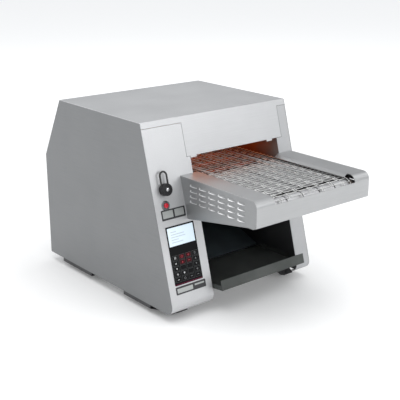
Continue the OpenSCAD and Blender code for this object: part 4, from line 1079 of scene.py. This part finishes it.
def lit_screen():
    """A pale panel with soft bars."""
    finish = Finish("lit_screen", (0.72, 0.80, 0.86), 0.18, Emission_Strength=0.42,
                    Coat_Weight=0.4)
    across, up = on_keypad(finish)
    rows_up = (up - FIRST_ROW) * (1 / ROW_PITCH)
    row = finish.node("ShaderNodeMath", {"operation": "FLOOR"}, {0: rows_up})
    spread = finish.node("ShaderNodeTexWhiteNoise", {"noise_dimensions": "1D"}, {"W": row})
    offset = cell_offset(finish, up, ROW_PITCH, FIRST_ROW + ROW_PITCH / 2)
    reach = (spread * 26 * MM) - 12 * MM
    bars = ((offset < 1.0 * MM) * (across > -27 * MM) * (across < reach)
            * (up > FIRST_ROW) * (up < FIRST_ROW + BAR_ROWS * ROW_PITCH))
    shade = finish.clamped(across, -30 * MM, 33 * MM)
    ground = finish.mix((0.64, 0.74, 0.79), (0.61, 0.72, 0.80), shade)
    picture = finish.mix(ground, (0.36, 0.42, 0.44), bars * 0.6)
    grit = finish.noise(finish.place(), 500.0)
    finish.set("Base Color", picture)
    finish.set("Emission Color", picture)
    finish.set("Roughness", 0.14 + grit * 0.08)
    return finish.material


screen = softened("display_module", lit_screen(), 0.15 * MM)
print("screen panel", [round(side / MM, 1) for side in screen.dimensions])

# %% [markdown]
# ## Cap of the connector
#
# The cap is turned from black plastic. Its rim is ribbed for the fingers, its face is dished, and
# a bright rivet in the face holds the loop. A cylinder with four sides to each rib is the start:
# every other pair of sides is pulled out a little to make the ribs, and the face is inset and
# dropped.

# %% Ribbed cap
cap_low, cap_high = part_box("socket_cap")
collar_low, collar_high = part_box("socket_collar")
socket_mid = (collar_low + collar_high) / 2
SOCKET_Z = 255.7 * MM + CABINET_FOOT
SOCKET_AT = on_face(socket_mid.x, SOCKET_Z)
CAP_R, CAP_FOOT, CAP_TOP = 13.5 * MM, 2.3 * MM, 15 * MM
CAP_MID = (CAP_TOP + CAP_FOOT) / 2
RIBS, RIB_OUT, RIB_SHARE = 24, 0.7 * MM, 0.86
RIM_W, SLOPE_W, DISH_DEPTH, DISH_RING = 1.2 * MM, 1.6 * MM, 1.4 * MM, 1.0 * MM
PLUG_R, PLUG_L = 7.8 * MM, 10 * MM
cap = upright_cylinder("ribbed_cap", 4 * RIBS, CAP_R - RIB_OUT, CAP_TOP - CAP_FOOT, CAP_MID)


def is_rib(middle, normal):
    """Whether a side face belongs to a rib."""
    share = math.atan2(middle.y, middle.x) / (2 * math.pi) * RIBS % 1
    return abs(normal.z) < 0.5 and share < 0.5


edit_faces(cap, is_rib)
extrude((0, 0, 0))
grow = CAP_R / (CAP_R - RIB_OUT)
bpy.ops.transform.resize(value=(grow, grow, RIB_SHARE), center_override=(0, 0, CAP_MID))
done()
edit_faces(cap, lambda middle, normal: points_up(middle, normal) and middle.z > CAP_TOP - TINY)
bpy.ops.mesh.inset(thickness=RIM_W)
bpy.ops.mesh.inset(thickness=SLOPE_W)
extrude((0, 0, -DISH_DEPTH))
bpy.ops.mesh.inset(thickness=DISH_RING)
bpy.ops.mesh.primitive_cylinder_add(vertices=48, radius=PLUG_R, depth=PLUG_L,
                                    location=(0, 0, CAP_FOOT - 4.5 * MM))
done()
round_edges(cap, 0.25 * MM, segments=2, angle=40)
dress(set_down(cap, SOCKET_AT), black_plastic, "socket_cap", "socket_cap")

rivet = upright_cylinder("cap_rivet", 32, 3.6 * MM, 2.2 * MM, CAP_TOP - 0.5 * MM)
edit_faces(rivet, points_up)
lifted_rings(((1.0, 0.5), (1.2, 0.25)))
done()
round_edges(rivet, 0.15 * MM, angle=60)
dress(set_down(rivet, SOCKET_AT), chrome, "socket_cap")
print("cap with", RIBS, "ribs, in a box of",
      [round(side / MM, 1) for side in cap_high - cap_low], "mm")

# %% [markdown]
# ## Push button
#
# The red button is a shallow dome in a dark metal ring. The dome comes from insetting the top of a
# cylinder four times and lifting each ring a little less than the last, so that its slope flattens
# towards the middle.

# %% Domed button
DOME = ((0.5, 0.55), (1.0, 0.45), (1.3, 0.25), (1.4, 0.1))    # inset and lift of each ring
button_low, button_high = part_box("power_button")
BUTTON_Z = 223.3 * MM + CABINET_FOOT
BUTTON_AT = on_face((button_low.x + button_high.x) / 2, BUTTON_Z)
button = upright_cylinder("domed_button", 48, 5.5 * MM, 14 * MM, -3.4 * MM)
edit_faces(button, points_up)
lifted_rings(DOME)
done()
round_edges(button, 0.2 * MM, angle=60, smooth=60)
dress(set_down(button, BUTTON_AT), red_plastic, "power_button", "power_button")
softened("button_bezel", ring_metal, 0.3 * MM)
print("button dome", round(sum(lift for _, lift in DOME), 2), "mm high")

# %% [markdown]
# ## Threaded feet
#
# The feet are bolts with a rubber pad. The thread is drawn as a zigzag of vertices up the side of
# the stem and spun round the axis; at this size rings look the same as a helix. A small hexagon
# above the pad is where the spanner goes. One stem is made and copied to the four corners.

# %% Stems
stem_low, stem_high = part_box("front_left_stem")
STEM_R, THREAD, THREAD_DEPTH = 4 * MM, 1.25 * MM, 0.55 * MM
FLANGE_R, FLANGE_T = 6.5 * MM, 3 * MM


def threaded_stem():
    """A stem with its axis on Z and its foot at the origin."""
    height = stem_high.z - stem_low.z
    turns = int((height - FLANGE_T) / THREAD)
    zigzag = [Vector((STEM_R - half % 2 * THREAD_DEPTH, 0, FLANGE_T + half * THREAD / 2))
              for half in range(2 * turns)]
    bends = [Vector((0, 0, FLANGE_T))] + zigzag + [Vector((STEM_R * 0.8, 0, height)),
                                                   Vector((0, 0, height))]
    stem = vertex_chain("threaded_stem", bends)
    bpy.ops.mesh.spin(steps=24, angle=2 * math.pi, center=(0, 0, 0), axis=(0, 0, 1))
    select_mesh()
    bpy.ops.mesh.remove_doubles(threshold=TINY)
    bpy.ops.mesh.normals_make_consistent(inside=False)
    bpy.ops.mesh.primitive_cylinder_add(vertices=6, radius=FLANGE_R, depth=FLANGE_T,
                                        location=(0, 0, FLANGE_T / 2))
    bpy.ops.mesh.bevel(offset=0.3 * MM, segments=1)
    done()
    bpy.ops.object.shade_smooth_by_angle(angle=math.radians(25))
    return stem


first_stem = threaded_stem()
for corner in ("front_left", "front_right", "rear_left", "rear_right"):
    low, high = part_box(corner + "_stem")
    stem = own_copy(first_stem)
    stem.name = stem.data.name = corner + "_thread"
    set_down(stem, Matrix.Translation(((low.x + high.x) / 2, (low.y + high.y) / 2, low.z)))
    dress(stem, chrome, corner + "_stem", corner + "_stem")
bpy.data.objects.remove(first_stem)
print("four stems", round((stem_high.z - stem_low.z) / MM, 1), "mm long")

# %% [markdown]
# ## Finishes for the pieces that keep their CAD shape
#
# Everything else has the right shape already and only needs its finish. Assigning to a node's
# material slots leaves its mesh alone.

# %% Dress the remaining nodes
KEPT = {
    heat_tint_and_painted_light: ["left_inner_wall", "right_inner_wall", "upper_reflector", "lower_reflector",
             "left_belt_rail", "right_belt_rail", "belt_support"],
    upper_glow: ["upper_heaters"],
    lower_glow: ["lower_heaters"],
    white_ceramic: ["heater_bushes", "terminal_block"],
    chute_coat: ["discharge_chute", "tray_runners"],
    steel_across: ["motor_bracket"],
    bush_bronze: ["shaft_bearings"],
    turned_steel: ["drive_shaft", "idler_shaft", "drive_sprockets", "drive_coupling"],
    roller_steel: ["idler_rollers"],
    motor_paint: ["gearmotor"],
    black_plastic: ["fan_frame", "fan_rotor", "power_inlet", "contactor", "power_switch",
                    "socket_collar"],
    black_rubber: ["cap_loop", "front_left_pad", "front_right_pad", "rear_left_pad",
                   "rear_right_pad"],
    circuit_board: ["control_board"],
    chrome: ["fan_guard", "cover_screws"],
    bracket_coat: ["foot_brackets"],
}
for material, nodes in KEPT.items():
    for node in nodes:
        coat(frame["nodes"][node], material)
print(sum(len(nodes) for nodes in KEPT.values()), "nodes keep their CAD mesh")
